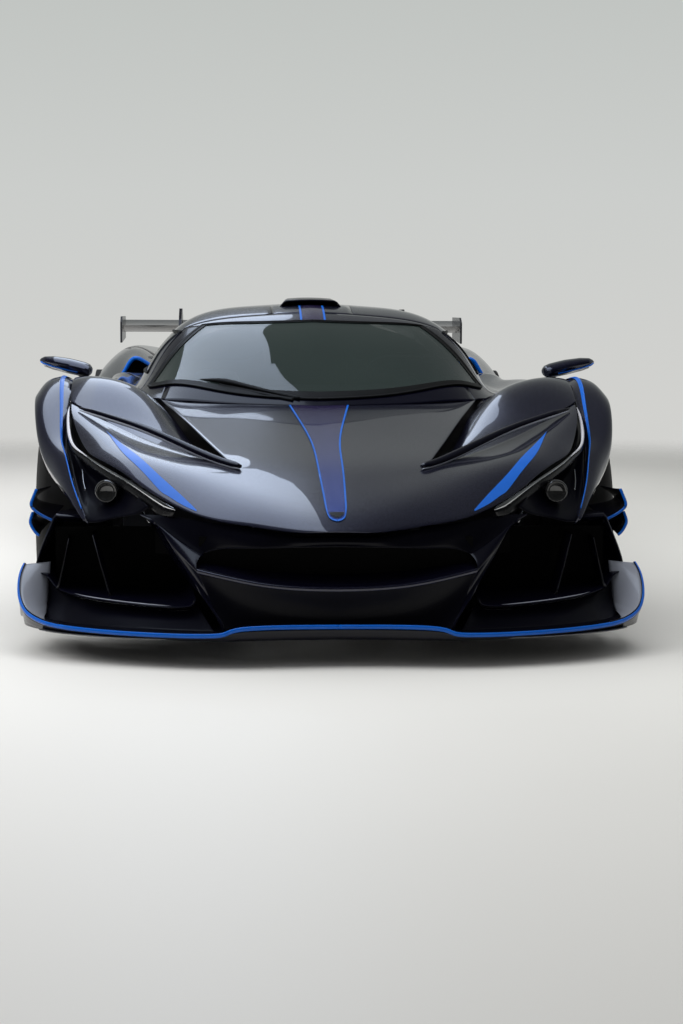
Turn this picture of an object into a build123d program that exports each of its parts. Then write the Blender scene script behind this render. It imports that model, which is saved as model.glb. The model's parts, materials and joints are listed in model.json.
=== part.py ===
from math import cos, pi, radians, sin, tan
import os

from build123d import *

# Low mid-engined two-seat hypercar. Millimetres, +Z up, nose towards -Y, origin on the ground at the middle
# of the car's length. Each body skin is the space between two lofts through the same stations, the inner inset.

# --- overall sizes ---
half_width = 997.5
front_overhang = 1130
wheelbase = 2700
rear_overhang = 1236
nose_y = -(front_overhang + wheelbase + rear_overhang) / 2
front_axle_y = nose_y + front_overhang
rear_axle_y = front_axle_y + wheelbase
tail_y = rear_axle_y + rear_overhang

# --- floor and splitter ---
floor_z = 90
floor_thickness = 20
floor_top = floor_z + floor_thickness
splitter_z = 80
splitter_thickness = 22
splitter_top = splitter_z + splitter_thickness
sill_top = 200

# --- panels ---
skin = 22
cabin_skin = 36
glass_thickness = 8
panel_gap = 6

# --- wheels ---
front_tyre_radius = 343
front_tyre_width = 255
front_rim_radius = 254
front_track_half = 845
rear_tyre_radius = 364
rear_tyre_width = 325
rear_rim_radius = 266.7
rear_track_half = 810
arch_clearance = 58
kingpin_inset = 110

os.makedirs("parts", exist_ok=True)

# The outlines below are drawn at these stations behind the nose and half widths. Each pair says where a
# drawn place lies on the car: the body keeps its shape round the wheels and stretches between them.
station_knots = [
    (0, nose_y),
    (600, front_axle_y - 530),
    (1700, front_axle_y + 570),
    (3040, rear_axle_y - 790),
    (4400, rear_axle_y + 570),
    (5066, tail_y),
]
width_knots = [(0, 0), (870, 870), (997.5, half_width)]
past_body = half_width + 150


def between(knots, drawn):
    """Reads a pair list at a drawn value, running on straight past its last pair."""
    for (a, low), (b, high) in zip(knots, knots[1:]):
        if drawn <= b:
            return low + (drawn - a) * (high - low) / (b - a)
    return high + (drawn - b) * (high - low) / (b - a)


def at(back):
    """Y of a place drawn at a distance behind the nose."""
    return between(station_knots, back)


def out(x):
    """X of a place drawn at a distance from the middle."""
    return between(width_knots, x) if x > 0 else x


def save(part, label):
    """Labels a finished piece and writes it to its own file."""
    part.label = label
    export_step(part, f"parts/{label}.step")


def inward(points, inset):
    """The arc chain's points, moved towards the inside of the hull by inset."""
    moved = []
    for i, (x, z) in enumerate(points):
        (xa, za), (xb, zb) = points[max(i - 1, 0)], points[min(i + 1, len(points) - 1)]
        if i == len(points) - 1:
            xb, zb = -xa, za
        run = ((xb - xa) ** 2 + (zb - za) ** 2) ** 0.5
        moved.append((x - inset * (zb - za) / run, z + inset * (xb - xa) / run))
    return moved


def half_hull(rows, inset, base_z):
    """Closed half hull from the centre plane outwards: a loft through one section of arcs per station."""
    with BuildPart() as hull:
        for y, *chain in rows:
            points = inward([(out(x), z) for x, z in chain], inset)
            with BuildSketch(Plane.XZ.offset(-y)):
                with BuildLine():
                    for k in range(0, len(points) - 2, 2):
                        ThreePointArc(points[k], points[k + 1], points[k + 2])
                    Polyline(points[-1], (0, base_z), (points[0][0], base_z), points[0])
                make_face()
        loft()
    return hull.part


def prism_down(outline, low=-100, high=2000):
    """Upright prism on a plan outline."""
    with BuildPart() as prism:
        with BuildSketch(Plane.XY.offset(low)):
            with BuildLine():
                Polyline(*outline, close=True)
            make_face()
        extrude(amount=high - low)
    return prism.part


def prism_side(outline, low, high):
    """Prism across the car from x = low to x = high, on a (y, z) outline."""
    with BuildPart() as prism:
        with BuildSketch(Plane.YZ.offset(low)):
            with BuildLine():
                Polyline(*outline, close=True)
            make_face()
        extrude(amount=high - low)
    return prism.part


# Cabin stations. Columns: y, sill, side, shoulder, ledge, glass base, glass bow, roof edge, bow, centre.
cabin_rows = [
    (at(1480), (950, 190), (985, 500), (880, 778), (760, 762), (640, 735), (500, 731), (350, 722),
        (180, 716), (0, 712)),
    (at(1660), (930, 190), (955, 490), (870, 770), (765, 772), (660, 745), (545, 800), (400, 826),
        (205, 838), (0, 842)),
    (at(2000), (900, 190), (900, 480), (840, 765), (770, 768), (700, 755), (640, 880), (500, 968),
        (260, 1003), (0, 1018)),
    (at(2350), (885, 190), (868, 470), (815, 748), (760, 765), (705, 765), (645, 908), (475, 1035),
        (245, 1073), (0, 1086)),
    (at(2700), (885, 190), (868, 480), (815, 760), (745, 778), (672, 785), (605, 915), (435, 1022),
        (220, 1065), (0, 1085)),
    (at(3040), (890, 190), (900, 500), (845, 800), (720, 806), (600, 800), (525, 900), (370, 990),
        (185, 1036), (0, 1050)),
]
cabin_outer = half_hull(cabin_rows, 0, sill_top - 60)
cabin_glass_inner = half_hull(cabin_rows, glass_thickness, sill_top - 60)
cabin_inner = half_hull(cabin_rows, cabin_skin, sill_top - 60)

# Bonnet stations. Columns: y, edge, edge bow, fold, fold bow, centre.
bonnet_rows = [
    (at(120), (200, 380), (130, 391), (70, 396), (35, 397.5), (0, 398)),
    (at(220), (450, 429), (320, 440), (200, 445), (100, 447.5), (0, 448)),
    (at(420), (690, 542), (480, 531), (290, 518), (145, 511), (0, 508)),
    (at(650), (845, 619), (580, 596), (320, 576), (160, 567), (0, 563)),
    (at(1000), (910, 755), (620, 681), (380, 640), (190, 628), (0, 624)),
    (at(1480), (935, 800), (720, 768), (560, 733), (280, 719), (0, 712)),
]
bonnet_outer = half_hull(bonnet_rows, 0, splitter_top)
bonnet_inner = half_hull(bonnet_rows, skin, splitter_top)

# Front fender stations. Columns: y, lower edge, side, crest, crest bow, valley.
fender_rows = [
    (at(400), (785, 400), (800, 418), (798, 434), (600, 452), (400, 440)),
    (at(620), (870, 460), (888, 505), (853, 550), (640, 540), (280, 470)),
    (at(850), (945, 520), (985, 600), (890, 655), (680, 625), (330, 515)),
    (at(1010), (985, 500), (997, 640), (895, 748), (700, 706), (380, 565)),
    (at(1200), (990, 460), (997.5, 660), (905, 815), (720, 790), (440, 625)),
    (at(1400), (985, 300), (993, 600), (900, 812), (730, 780), (500, 690)),
    (at(1560), (978, 190), (982, 560), (885, 782), (740, 768), (560, 730)),
]
fender_outer = half_hull(fender_rows, 0, splitter_top)
fender_inner = half_hull(fender_rows, skin, splitter_top)

# Rear stations. Columns: y, lower edge, side, haunch, haunch bow, valley, spine bow, spine.
rear_rows = [
    (at(3040), (900, 190), (945, 560), (835, 862), (745, 868), (590, 805), (330, 985), (0, 1040)),
    (at(3430), (930, 300), (992, 600), (850, 888), (740, 882), (530, 790), (290, 925), (0, 975)),
    (at(3830), (960, 400), (997.5, 640), (850, 905), (720, 892), (480, 775), (260, 880), (0, 925)),
    (at(4280), (960, 330), (990, 600), (830, 890), (690, 874), (440, 755), (230, 828), (0, 860)),
    (at(4830), (900, 300), (935, 620), (790, 845), (640, 828), (400, 740), (200, 778), (0, 790)),
]
rear_outer = half_hull(rear_rows, 0, 150)
rear_inner = half_hull(rear_rows, skin, 150)


def half_sheet(outer, inner):
    """Half of a body skin: what lies between an outer hull and its inset copy."""
    with BuildPart() as sheet:
        add(outer)
        add(inner, mode=Mode.SUBTRACT)
    return sheet.part


cabin_sheet = half_sheet(cabin_outer, cabin_inner)
glass_sheet = half_sheet(cabin_outer, cabin_glass_inner)
bonnet_sheet = half_sheet(bonnet_outer, bonnet_inner)
fender_sheet = half_sheet(fender_outer, fender_inner)
rear_sheet = half_sheet(rear_outer, rear_inner)


def plan(*points):
    """Outline points given as (x, distance behind the nose) turned into (x, y)."""
    return [(out(x), at(back)) for x, back in points]


def side(*points):
    """Outline points given as (distance behind the nose, z) turned into (y, z)."""
    return [(at(back), z) for back, z in points]


# Plan regions of the half body. Neighbours are panel_gap apart.
glass_region = prism_down(plan((-5, 1508), (300, 1530), (560, 1625), (628, 1750), (430, 2060),
    (200, 2012), (-5, 2000)), 600)
frame_region = prism_down(plan((-5, 1480), (575, 1480), (602, 1500), (764, 1560), (1100, 1560),
    (1100, 3034), (-5, 3034)), sill_top)
door_outline = plan((165, 2120), (500, 2110), (705, 1760), (760, 1700), (1100, 1700), (1100, 2760),
    (165, 2760))
door_region = prism_down(door_outline, sill_top + panel_gap)
door_hole = prism_down(plan((159, 2114), (497, 2104), (700, 1757), (757, 1694), (1100, 1694),
    (1100, 2766), (159, 2766)), 0)
side_glass_region = prism_side(side((1985, 815), (2080, 975), (2560, 975), (2640, 900),
    (2640, 822)), 450, 1000)
bonnet_outline = plan((-5, 120), (150, 133), (274, 170), (407, 220), (547, 320), (642, 420), (741, 550),
    (794, 650), (846, 850), (862, 1000), (836, 980), (304, 550), (575, 1474), (-5, 1474))
bonnet_region = prism_down(bonnet_outline, 200)
fender_region = prism_down(plan((766, 380), (796, 470), (842, 620), (885, 850), (900, 1005), (850, 1005),
    (836, 992), (318, 570), (584, 1474), (605, 1494), (764, 1560), (1100, 1560), (1100, 380)), sill_top)
fender_side = prism_side(side((370, 403), (620, 460), (760, 500), (1130, 343), (1500, 200), (1570, 200),
    (1570, 1000), (370, 1000)), 0, past_body)
lid_region = prism_down(plan((-5, 3062), (450, 3062), (450, 4300), (-5, 4300)), 500)
haunch_region = prism_down(plan((456, 3042), (1100, 3042), (1100, 4830), (456, 4830)), sill_top + panel_gap)
haunch_side = prism_side(side((3040, 206), (3440, 206), (3830, 364), (4220, 320), (4840, 300),
    (4840, 1200), (3040, 1200)), 0, past_body)
deck_region = prism_down(plan((-5, 4306), (456, 4306), (456, 4830), (-5, 4830)), 500)


def block(x, half, front, rear, low, high):
    """Box between two distances behind the nose and two heights."""
    with BuildPart() as box:
        with BuildSketch(Plane.XY.offset(low)):
            with Locations((x, (at(front) + at(rear)) / 2)):
                Rectangle(2 * half, at(rear) - at(front))
        extrude(amount=high - low)
    return box.part


def arch(y, z, radius, inner_x):
    """Round block across the car that opens a wheel arch."""
    with BuildPart() as block:
        with BuildSketch(Plane.YZ.offset(inner_x)):
            with Locations((y, z)):
                Circle(radius)
        extrude(amount=past_body - inner_x)
    return block.part


front_arch = arch(front_axle_y, front_tyre_radius, front_tyre_radius + arch_clearance, 870)
rear_arch = arch(rear_axle_y, rear_tyre_radius, rear_tyre_radius + 46, 870)


def save_pair(part, label):
    """Writes a left-hand piece (x > 0) and its mirror image."""
    with BuildPart() as left:
        add(part)
    save(left.part, f"{label}_left")
    with BuildPart() as right:
        add(part)
        mirror(about=Plane.YZ, mode=Mode.REPLACE)
    save(right.part, f"{label}_right")


# Hinges. Each is a pin in two lugs on the frame, with the moving piece's eye between them.
hinge_pin = 4
hinge_bore = 4.06
hinge_outer = 8
hinge_clear = 13
door_hinge = (162, 1085.5)              # x, z of the line both hinges of a door turn about
door_hinge_backs = (2300, 2600)         # distances of the eyes behind the nose
lid_hinge = (3048, 1047)                # distance behind the nose, z of the engine cover's line
lid_hinge_xs = (70,)


def along_y(x, z, start, end, radius, hole=0):
    """Round bar or ring along the car."""
    with BuildPart() as bar:
        with BuildSketch(Plane.XZ.offset(-at(start))):
            with Locations((x, z)):
                Circle(radius)
                if hole:
                    Circle(hole, mode=Mode.SUBTRACT)
        extrude(amount=at(start) - at(end))
    return bar.part


def along_x(y, z, start, end, radius, hole=0):
    """Round bar or ring across the car."""
    with BuildPart() as bar:
        with BuildSketch(Plane.YZ.offset(start)):
            with Locations((y, z)):
                Circle(radius)
                if hole:
                    Circle(hole, mode=Mode.SUBTRACT)
        extrude(amount=end - start)
    return bar.part


door_x, door_z = door_hinge
door_eyes = []
door_eye_room = []
door_lugs = []
door_lug_room = []
for back in door_hinge_backs:
    door_eyes.append(along_y(door_x, door_z, back - 10, back + 10, hinge_outer, hinge_bore))
    door_eyes.append(block(183, 15, back - 10, back + 10, door_z - 22, door_z - 4))
    door_eye_room.append(along_y(door_x, door_z, back - 11, back + 11, hinge_clear))
    door_lugs.append(along_y(door_x, door_z, back - 24, back - 12, hinge_outer))
    door_lugs.append(along_y(door_x, door_z, back + 12, back + 24, hinge_outer))
    door_lugs.append(along_y(door_x, door_z, back - 24, back + 24, hinge_pin))
    door_lugs.append(block(146, 12, back - 24, back - 12, door_z - 22, door_z - 4))
    door_lugs.append(block(146, 12, back + 12, back + 24, door_z - 22, door_z - 4))
    door_lug_room.append(along_y(door_x, door_z, back - 26, back - 10.5, hinge_clear))
    door_lug_room.append(along_y(door_x, door_z, back + 10.5, back + 26, hinge_clear))

lid_back, lid_z = lid_hinge
lid_y = at(lid_back)
lid_lugs = []
lid_eyes = []
for x in lid_hinge_xs:
    lid_lugs.append(along_x(lid_y, lid_z, x - 24, x + 24, hinge_pin))
    lid_lugs.append(along_x(lid_y, lid_z, x - 24, x - 12, hinge_outer))
    lid_lugs.append(along_x(lid_y, lid_z, x + 12, x + 24, hinge_outer))
    lid_lugs.append(block(x - 18, 6, lid_back - 26, lid_back, lid_z - 26, lid_z - 2))
    lid_lugs.append(block(x + 18, 6, lid_back - 26, lid_back, lid_z - 26, lid_z - 2))
    lid_eyes.append(along_x(lid_y, lid_z, x - 10, x + 10, hinge_outer, hinge_bore))
    lid_eyes.append(block(x, 10, lid_back + 5, lid_back + 34, lid_z - 26, lid_z - 2))

# Windscreen: flush in its hole in the frame.
with BuildPart() as windscreen:
    add(glass_sheet)
    add(glass_region, mode=Mode.INTERSECT)
    mirror(about=Plane.YZ)
save(windscreen.part, "windscreen")

# Cabin frame: scuttle, pillars, roof spine, header and rear quarters.
with BuildPart() as cabin_frame:
    add(cabin_sheet)
    add(frame_region, mode=Mode.INTERSECT)
    add(glass_region, mode=Mode.SUBTRACT)
    add(door_hole, mode=Mode.SUBTRACT)
    add(door_eye_room, mode=Mode.SUBTRACT)
    add(door_lugs)
    add(lid_lugs)
    mirror(about=Plane.YZ)
save(cabin_frame.part, "cabin_frame")

# Doors: each takes half of the roof with it and hangs from the roof spine.
with BuildPart() as door:
    add(cabin_sheet)
    add(door_region, mode=Mode.INTERSECT)
    add(side_glass_region, mode=Mode.SUBTRACT)
    add(door_lug_room, mode=Mode.SUBTRACT)
    add(door_eyes)
save_pair(door.part, "door")
with BuildPart() as door_glass:
    add(glass_sheet)
    add(door_region, mode=Mode.INTERSECT)
    add(side_glass_region, mode=Mode.INTERSECT)
save_pair(door_glass.part, "door_glass")

# Roof scoop: a low intake standing on the roof spine.
scoop_rows = [
    (at(2440), 150, 1118),
    (at(2620), 138, 1128),
    (at(2950), 90, 1092),
]


def scoop_block(inset, front_y):
    """Loft of the scoop's arched sections, inset from its outside; its mouth is at front_y."""
    with BuildPart() as block:
        for y, half, top in scoop_rows:
            station = max(y, front_y) if y == scoop_rows[0][0] else y
            with BuildSketch(Plane.XZ.offset(-station)):
                with BuildLine():
                    ThreePointArc((-half + inset, 1000), (0, top - inset), (half - inset, 1000))
                    Line((half - inset, 1000), (-half + inset, 1000))
                make_face()
        loft()
    return block.part


scoop_outer = scoop_block(0, scoop_rows[0][0])
scoop_inner = scoop_block(8, scoop_rows[0][0])
with BuildPart() as roof_scoop:
    add(scoop_outer)
    add(scoop_inner, mode=Mode.SUBTRACT)
    add(cabin_outer, mode=Mode.SUBTRACT)
    add(cabin_outer.mirror(Plane.YZ), mode=Mode.SUBTRACT)
save(roof_scoop.part, "roof_scoop")

# Bonnet: one sheet across the nose with the vent recesses cut out of it.
with BuildPart() as bonnet:
    add(bonnet_sheet)
    add(bonnet_region, mode=Mode.INTERSECT)
    mirror(about=Plane.YZ)
save(bonnet.part, "bonnet")

# Front fenders: the blade, the crest, the side over the wheel and the slope that dives under the bonnet.
with BuildPart() as front_fender:
    add(fender_sheet)
    add(fender_region, mode=Mode.INTERSECT)
    add(fender_side, mode=Mode.INTERSECT)
    add(front_arch, mode=Mode.SUBTRACT)
save_pair(front_fender.part, "front_fender")

# Rear fenders: haunches that stand proud of the cabin, so that their front edges are intakes.
with BuildPart() as rear_fender:
    add(rear_sheet)
    add(haunch_region, mode=Mode.INTERSECT)
    add(haunch_side, mode=Mode.INTERSECT)
    add(rear_arch, mode=Mode.SUBTRACT)
save_pair(rear_fender.part, "rear_fender")

# Engine cover: the spine behind the cabin, hinged at its front edge.
with BuildPart() as engine_cover:
    add(rear_sheet)
    add(lid_region, mode=Mode.INTERSECT)
    add(lid_eyes)
    mirror(about=Plane.YZ)
save(engine_cover.part, "engine_cover")

# Front bumper: plan curves of its outer face. Columns: z, then (x, distance behind the nose) from the middle out.
bumper_rows = [
    (splitter_top, (0, 105), (280, 100), (540, 150), (750, 225), (875, 335), (925, 450), (950, 560)),
    (240, (0, 80), (240, 85), (430, 145), (640, 235), (830, 345), (930, 450), (968, 570)),
    (560, (0, 130), (250, 150), (430, 215), (640, 325), (830, 440), (935, 545), (985, 640)),
]
bumper_rear = 700


def bumper_hull(inset):
    """Half of the bumper's block, a loft of plan sections stacked upwards."""
    with BuildPart() as hull:
        for z, *chain in bumper_rows:
            points = [(out(x) - 0.6 * inset, at(back) + 0.8 * inset) for x, back in chain]
            points[0] = (0, at(chain[0][1]) + inset)
            with BuildSketch(Plane.XY.offset(z)):
                with BuildLine():
                    for k in range(0, len(points) - 2, 2):
                        ThreePointArc(points[k], points[k + 1], points[k + 2])
                    Polyline(points[-1], (points[-1][0], at(bumper_rear)), (0, at(bumper_rear)), points[0])
                make_face()
        loft()
    return hull.part


def front_cut(outline, back, deep):
    """Prism along the car on an (x, z) outline, from one distance behind the nose and that deep."""
    with BuildPart() as prism:
        with BuildSketch(Plane.XZ.offset(-at(back))):
            with BuildLine():
                Polyline(*[(out(x), z) for x, z in outline], close=True)
            make_face()
        extrude(amount=at(back) - at(back + deep))
    return prism.part


bumper_outer = bumper_hull(0)
bumper_inner = bumper_hull(skin)
mouth_cut = front_cut([(-5, 232), (428, 270), (372, 345), (-5, 356)], -50, 400)
intake_cut = front_cut([(434, 172), (713, 156), (862, 180), (902, 285), (800, 372), (560, 362),
    (470, 262)], -50, 700)
bumper_top_inner = prism_side(side((-50, 352), (120, 364), (220, 405), (420, 476), (800, 560), (800, 700),
    (-50, 700)), -5, 560)
bumper_top_outer = prism_side(side((-50, 352), (260, 385), (395, 396), (620, 453), (760, 493), (800, 700),
    (-50, 700)), 560, past_body)
with BuildPart() as front_bumper:
    add(bumper_outer)
    add(bumper_inner, mode=Mode.SUBTRACT)
    add(mouth_cut, mode=Mode.SUBTRACT)
    add(intake_cut, mode=Mode.SUBTRACT)
    add(bumper_top_inner, mode=Mode.SUBTRACT)
    add(bumper_top_outer, mode=Mode.SUBTRACT)
    mirror(about=Plane.YZ)
save(front_bumper.part, "front_bumper")

# Splitter: a flat blade under the bumper with an upswept fence at each end.
splitter_edge = plan((-5, 30), (200, 12), (353, 0), (563, 40), (720, 95), (842, 170), (925, 250),
    (968, 330), (990, 430), (990, 640))
splitter_plate = prism_down(splitter_edge + plan((560, 700), (-5, 700)), splitter_z, splitter_top)
fence_region = prism_down(plan((925, 250), (968, 330), (990, 430), (990, 640), (978, 640), (978, 432),
    (957, 334), (917, 257)), splitter_top, 260)
fence_side = prism_side(side((240, 100), (240, 124), (420, 168), (640, 245), (640, 100)), 800, past_body)
with BuildPart() as fence:
    add(fence_region)
    add(fence_side, mode=Mode.INTERSECT)
with BuildPart() as front_splitter:
    add(splitter_plate)
    add(fence.part)
    mirror(about=Plane.YZ)
save(front_splitter.part, "front_splitter")

# Grilles: mesh panels standing on the splitter behind the mouth and the side intakes.
with BuildPart() as grilles:
    with BuildSketch(Plane.XZ.offset(-at(215))):
        with Locations((0, splitter_top)):
            Rectangle(840, 270, align=(Align.CENTER, Align.MIN))
    extrude(amount=-8)
    with BuildSketch(Plane.XZ.offset(-at(520))):
        with Locations((650, splitter_top)):
            Rectangle(460, 270, align=(Align.CENTER, Align.MIN))
    extrude(amount=-8)
    mirror(about=Plane.YZ)
save(grilles.part, "grilles")

# Canards: two small winglets on each flank of the bumper.
canard_levels = [(270, 545, 985), (350, 585, 997)]
with BuildPart() as canards:
    for z, back, reach in canard_levels:
        with BuildSketch(Plane.XY.offset(z)):
            with BuildLine():
                Polyline(*plan((900, back), (reach, back + 70), (reach, 700), (900, 700)), close=True)
            make_face()
        extrude(amount=8)
    add(bumper_outer, mode=Mode.SUBTRACT)
    mirror(about=Plane.YZ)
save(canards.part, "canards")

# Headlamps: pods in the triangle between the fender blade and the bonnet edge.
lamp_region = prism_down(plan((600, 345), (780, 405), (812, 470), (850, 620), (880, 790), (845, 790),
    (794, 690), (720, 560), (640, 450)), 385, 900)
lamp_bottom = prism_side(side((300, 300), (300, 402), (420, 415), (560, 470), (800, 540),
    (800, 300)), 500, 1000)
with BuildPart() as headlamps:
    add(fender_inner)
    add(lamp_region, mode=Mode.INTERSECT)
    add(lamp_bottom, mode=Mode.SUBTRACT)
    mirror(about=Plane.YZ)
save(headlamps.part, "headlamps")

# Floor pan: flat, waisted at both axles so that the tyres pass beside it.
floor_outline = plan((-560, 700), (560, 700), (540, 740), (540, 1560), (830, 1600), (830, 3330),
    (590, 3390), (590, 4300))
with BuildPart() as floor_pan:
    add(prism_down(floor_outline + [(-x, y) for x, y in floor_outline[:0:-1]][:-1], floor_z, floor_top))
save(floor_pan.part, "floor_pan")

# Side skirts: a box sill with a thin blade along its foot.
skirt_points = [(830, floor_z), (990, floor_z), (990, floor_z + 12), (955, floor_z + 16), (955, 170)]
skirt_section = [(out(x), z) for x, z in skirt_points + [(935, sill_top), (830, sill_top)]]
with BuildPart() as side_skirts:
    with BuildSketch(Plane.XZ.offset(-at(1575))):
        with BuildLine():
            Polyline(*skirt_section, close=True)
        make_face()
    extrude(amount=at(1575) - at(3365))
    mirror(about=Plane.YZ)
save(side_skirts.part, "side_skirts")

# Monocoque: tub floor, sills, tunnel, bulkheads and the crash box in the nose.
tub_boxes = [
    # centre x, half width, front, rear, low, high
    (0, 830, 1600, 3034, floor_top, 140),
    (745, 55, 1600, 3034, 140, 400),
    (0, 110, 1640, 2950, 140, 330),
    (0, 825, 1600, 1628, 140, 900),
    (0, 825, 2925, 2955, 140, 1100),
    (0, 260, 720, 1600, floor_top, 420),
    (0, 250, 480, 720, 150, 400),
    (0, 250, 700, 722, floor_top, 400),
]


tub_parts = [block(*row) for row in tub_boxes]
bulkheads = [tub_parts[3], tub_parts[4]]
bonnet_posts = block(225, 25, 1330, 1370, 400, 800)
with BuildPart() as bulkhead_pair:
    add(bulkheads[0])
    add(bulkheads[1])
    add(cabin_inner, mode=Mode.INTERSECT)
with BuildPart() as post:
    add(bonnet_posts)
    add(bonnet_inner, mode=Mode.INTERSECT)
with BuildPart() as monocoque:
    for k in (0, 1, 2, 5, 6, 7):
        add(tub_parts[k])
    add(bulkhead_pair.part)
    add(post.part)
    mirror(about=Plane.YZ)
save(monocoque.part, "monocoque")

# Seats: shells with a bolster on each side, standing on the tub floor against the rear bulkhead.
seat_side = side((2130, 140), (2130, 270), (2230, 300), (2560, 262), (2660, 300), (2880, 800),
    (2905, 860), (2925, 860), (2925, 600), (2760, 140))
seat_front = front_cut([(170, 140), (600, 140), (600, 520), (500, 860), (250, 860), (170, 520)], 2000, 1000)
seat_block = prism_side(seat_side, 150, 650)
with BuildPart() as seats:
    add(seat_block)
    add(seat_front, mode=Mode.INTERSECT)
    mirror(about=Plane.YZ)
save(seats.part, "seats")

# Steering wheel: flat-bottomed rim on a column that turns in the dashboard's bearing.
column_start = Vector(375, at(1700), 640)
column_axis = Vector(0, cos(radians(18)), sin(radians(18)))
wheel_centre = column_start + column_axis * 330
column_plane = Plane(origin=column_start, x_dir=(1, 0, 0), z_dir=column_axis)
wheel_plane = Plane(origin=wheel_centre, x_dir=(1, 0, 0), z_dir=column_axis)
column_radius = 20
column_bearing = 20.06

with BuildPart() as column_hole:
    with BuildSketch(column_plane.offset(-40)):
        Circle(column_bearing)
    extrude(amount=400)
with BuildPart() as column_end:
    with BuildSketch(column_plane.offset(-30)):
        Circle(column_radius)
    extrude(amount=350)
with BuildPart() as wheel_rim:
    with BuildSketch(wheel_plane.offset(-14)):
        RectangleRounded(350, 300, 90)
        RectangleRounded(296, 246, 66, mode=Mode.SUBTRACT)
        Rectangle(300, 60)
        Circle(62)
    extrude(amount=28)
with BuildPart() as steering_wheel:
    add(column_end.part)
    add(wheel_rim.part)
save(steering_wheel.part, "steering_wheel")

# Dashboard: a full-width beam on the front bulkhead with a hood over the dials.
dash_side = side((1628, 560), (1628, 690), (1700, 735), (1830, 735), (1880, 690), (1880, 640), (1780, 560))
dash_block = prism_side(dash_side, -5, 640)
with BuildPart() as dashboard:
    add(dash_block)
    add(cabin_inner, mode=Mode.INTERSECT)
    mirror(about=Plane.YZ)
    add(column_hole.part, mode=Mode.SUBTRACT)
save(dashboard.part, "dashboard")


# Wheels. Columns: axle, y, tyre radius, tyre width, rim radius, half track, disc radius.
axles = [
    ("front", front_axle_y, front_tyre_radius, front_tyre_width, front_rim_radius, front_track_half, 195),
    ("rear", rear_axle_y, rear_tyre_radius, rear_tyre_width, rear_rim_radius, rear_track_half, 200),
]
spindle_radius = 30
hub_bore = 30.05
spoke_count = 10
disc_in, disc_out = -75, -41


def wheel_section(x, y, z):
    """Plane through a wheel's axle: local x is outboard, local y is the radius."""
    return Plane(origin=(x, y, z), x_dir=(1, 0, 0), z_dir=(0, -1, 0))


def ring(x, y, z, low, high, inner, outer):
    """Ring about a wheel's axle between two outboard offsets."""
    with BuildPart() as solid:
        with BuildSketch(Plane(origin=(x + low, y, z), x_dir=(0, 1, 0), z_dir=(1, 0, 0))):
            Circle(outer)
            if inner:
                Circle(inner, mode=Mode.SUBTRACT)
        extrude(amount=high - low)
    return solid.part


for axle, y, tyre_r, tyre_w, rim_r, track, disc_r in axles:
    half = tyre_w / 2
    with BuildPart() as tyre:
        with BuildSketch(wheel_section(track, y, tyre_r)):
            with BuildLine():
                Line((-half + 16, rim_r), (half - 16, rim_r))
                ThreePointArc((half - 16, rim_r), (half, rim_r + 40), (half - 8, tyre_r - 22))
                ThreePointArc((half - 8, tyre_r - 22), (half - 20, tyre_r - 6), (half - 40, tyre_r))
                Line((half - 40, tyre_r), (-half + 40, tyre_r))
                ThreePointArc((-half + 40, tyre_r), (-half + 20, tyre_r - 6), (-half + 8, tyre_r - 22))
                ThreePointArc((-half + 8, tyre_r - 22), (-half, rim_r + 40), (-half + 16, rim_r))
            make_face()
        revolve(axis=Axis((track, y, tyre_r), (1, 0, 0)))
    save_pair(tyre.part, f"{axle}_tyre")

    barrel = ring(track, y, tyre_r, -half + 12, half - 12, rim_r - 12, rim_r)
    hub = ring(track, y, tyre_r, disc_in, 66, hub_bore, 78)
    nut = ring(track, y, tyre_r, 66, 90, 0, 38)
    disc = ring(track, y, tyre_r, disc_in, disc_out, 70, disc_r)
    with BuildPart() as spoke:
        with BuildSketch(wheel_section(track, y, tyre_r).offset(-9)):
            with BuildLine():
                Polyline((30, 60), (66, 60), (half - 16, rim_r - 4), (half - 62, rim_r - 4), close=True)
            make_face()
        extrude(amount=18)
    axle_line = Axis((track, y, tyre_r), (1, 0, 0))
    spokes = [spoke.part.rotate(axle_line, k * 360 / spoke_count) for k in range(spoke_count)]
    with BuildPart() as rim:
        add(barrel)
        add(hub)
        add(nut)
        add(disc)
        add(spokes)
    save_pair(rim.part, f"{axle}_rim")


def carrier(x, y, z, pin_z):
    """Wheel carrier: upright, spindle and brake caliper; with pin_z, a kingpin through it as well."""
    plate = ring(x, y, z, disc_in - 15, disc_out + 15, 125, 215)
    slot = ring(x, y, z, disc_in - 5, disc_out + 5, 0, 206)
    spindle = ring(x, y, z, disc_in - 60, 60, 0, spindle_radius)
    with BuildPart() as wedge:
        with BuildSketch(Plane.YZ.offset(x - 200)):
            with BuildLine():
                Polyline((y + 60, z), (y + 260, z - 130), (y + 260, z + 130), close=True)
            make_face()
        extrude(amount=300)
    with BuildPart() as upright:
        with BuildSketch(Plane.XY.offset(z - 100)):
            with Locations((x - 112, y)):
                Rectangle(65, 100)
        extrude(amount=200)
    with BuildPart() as bracket:
        with BuildSketch(Plane.XY.offset(z - 35)):
            with Locations((x - 92, y + 90)):
                Rectangle(24, 120)
        extrude(amount=70)
    with BuildPart() as caliper:
        add(plate)
        add(slot, mode=Mode.SUBTRACT)
        add(wedge.part, mode=Mode.INTERSECT)
    with BuildPart() as whole:
        add(caliper.part)
        add(upright.part)
        add(bracket.part)
        add(spindle)
        if pin_z:
            with BuildSketch(Plane.XY.offset(pin_z[0])):
                with Locations((x - kingpin_inset, y)):
                    Circle(14)
            extrude(amount=pin_z[1] - pin_z[0])
    return whole.part


kingpin_x = front_track_half - kingpin_inset
front_knuckle = carrier(front_track_half, front_axle_y, front_tyre_radius, (205, 475))
save_pair(front_knuckle, "front_knuckle")


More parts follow.
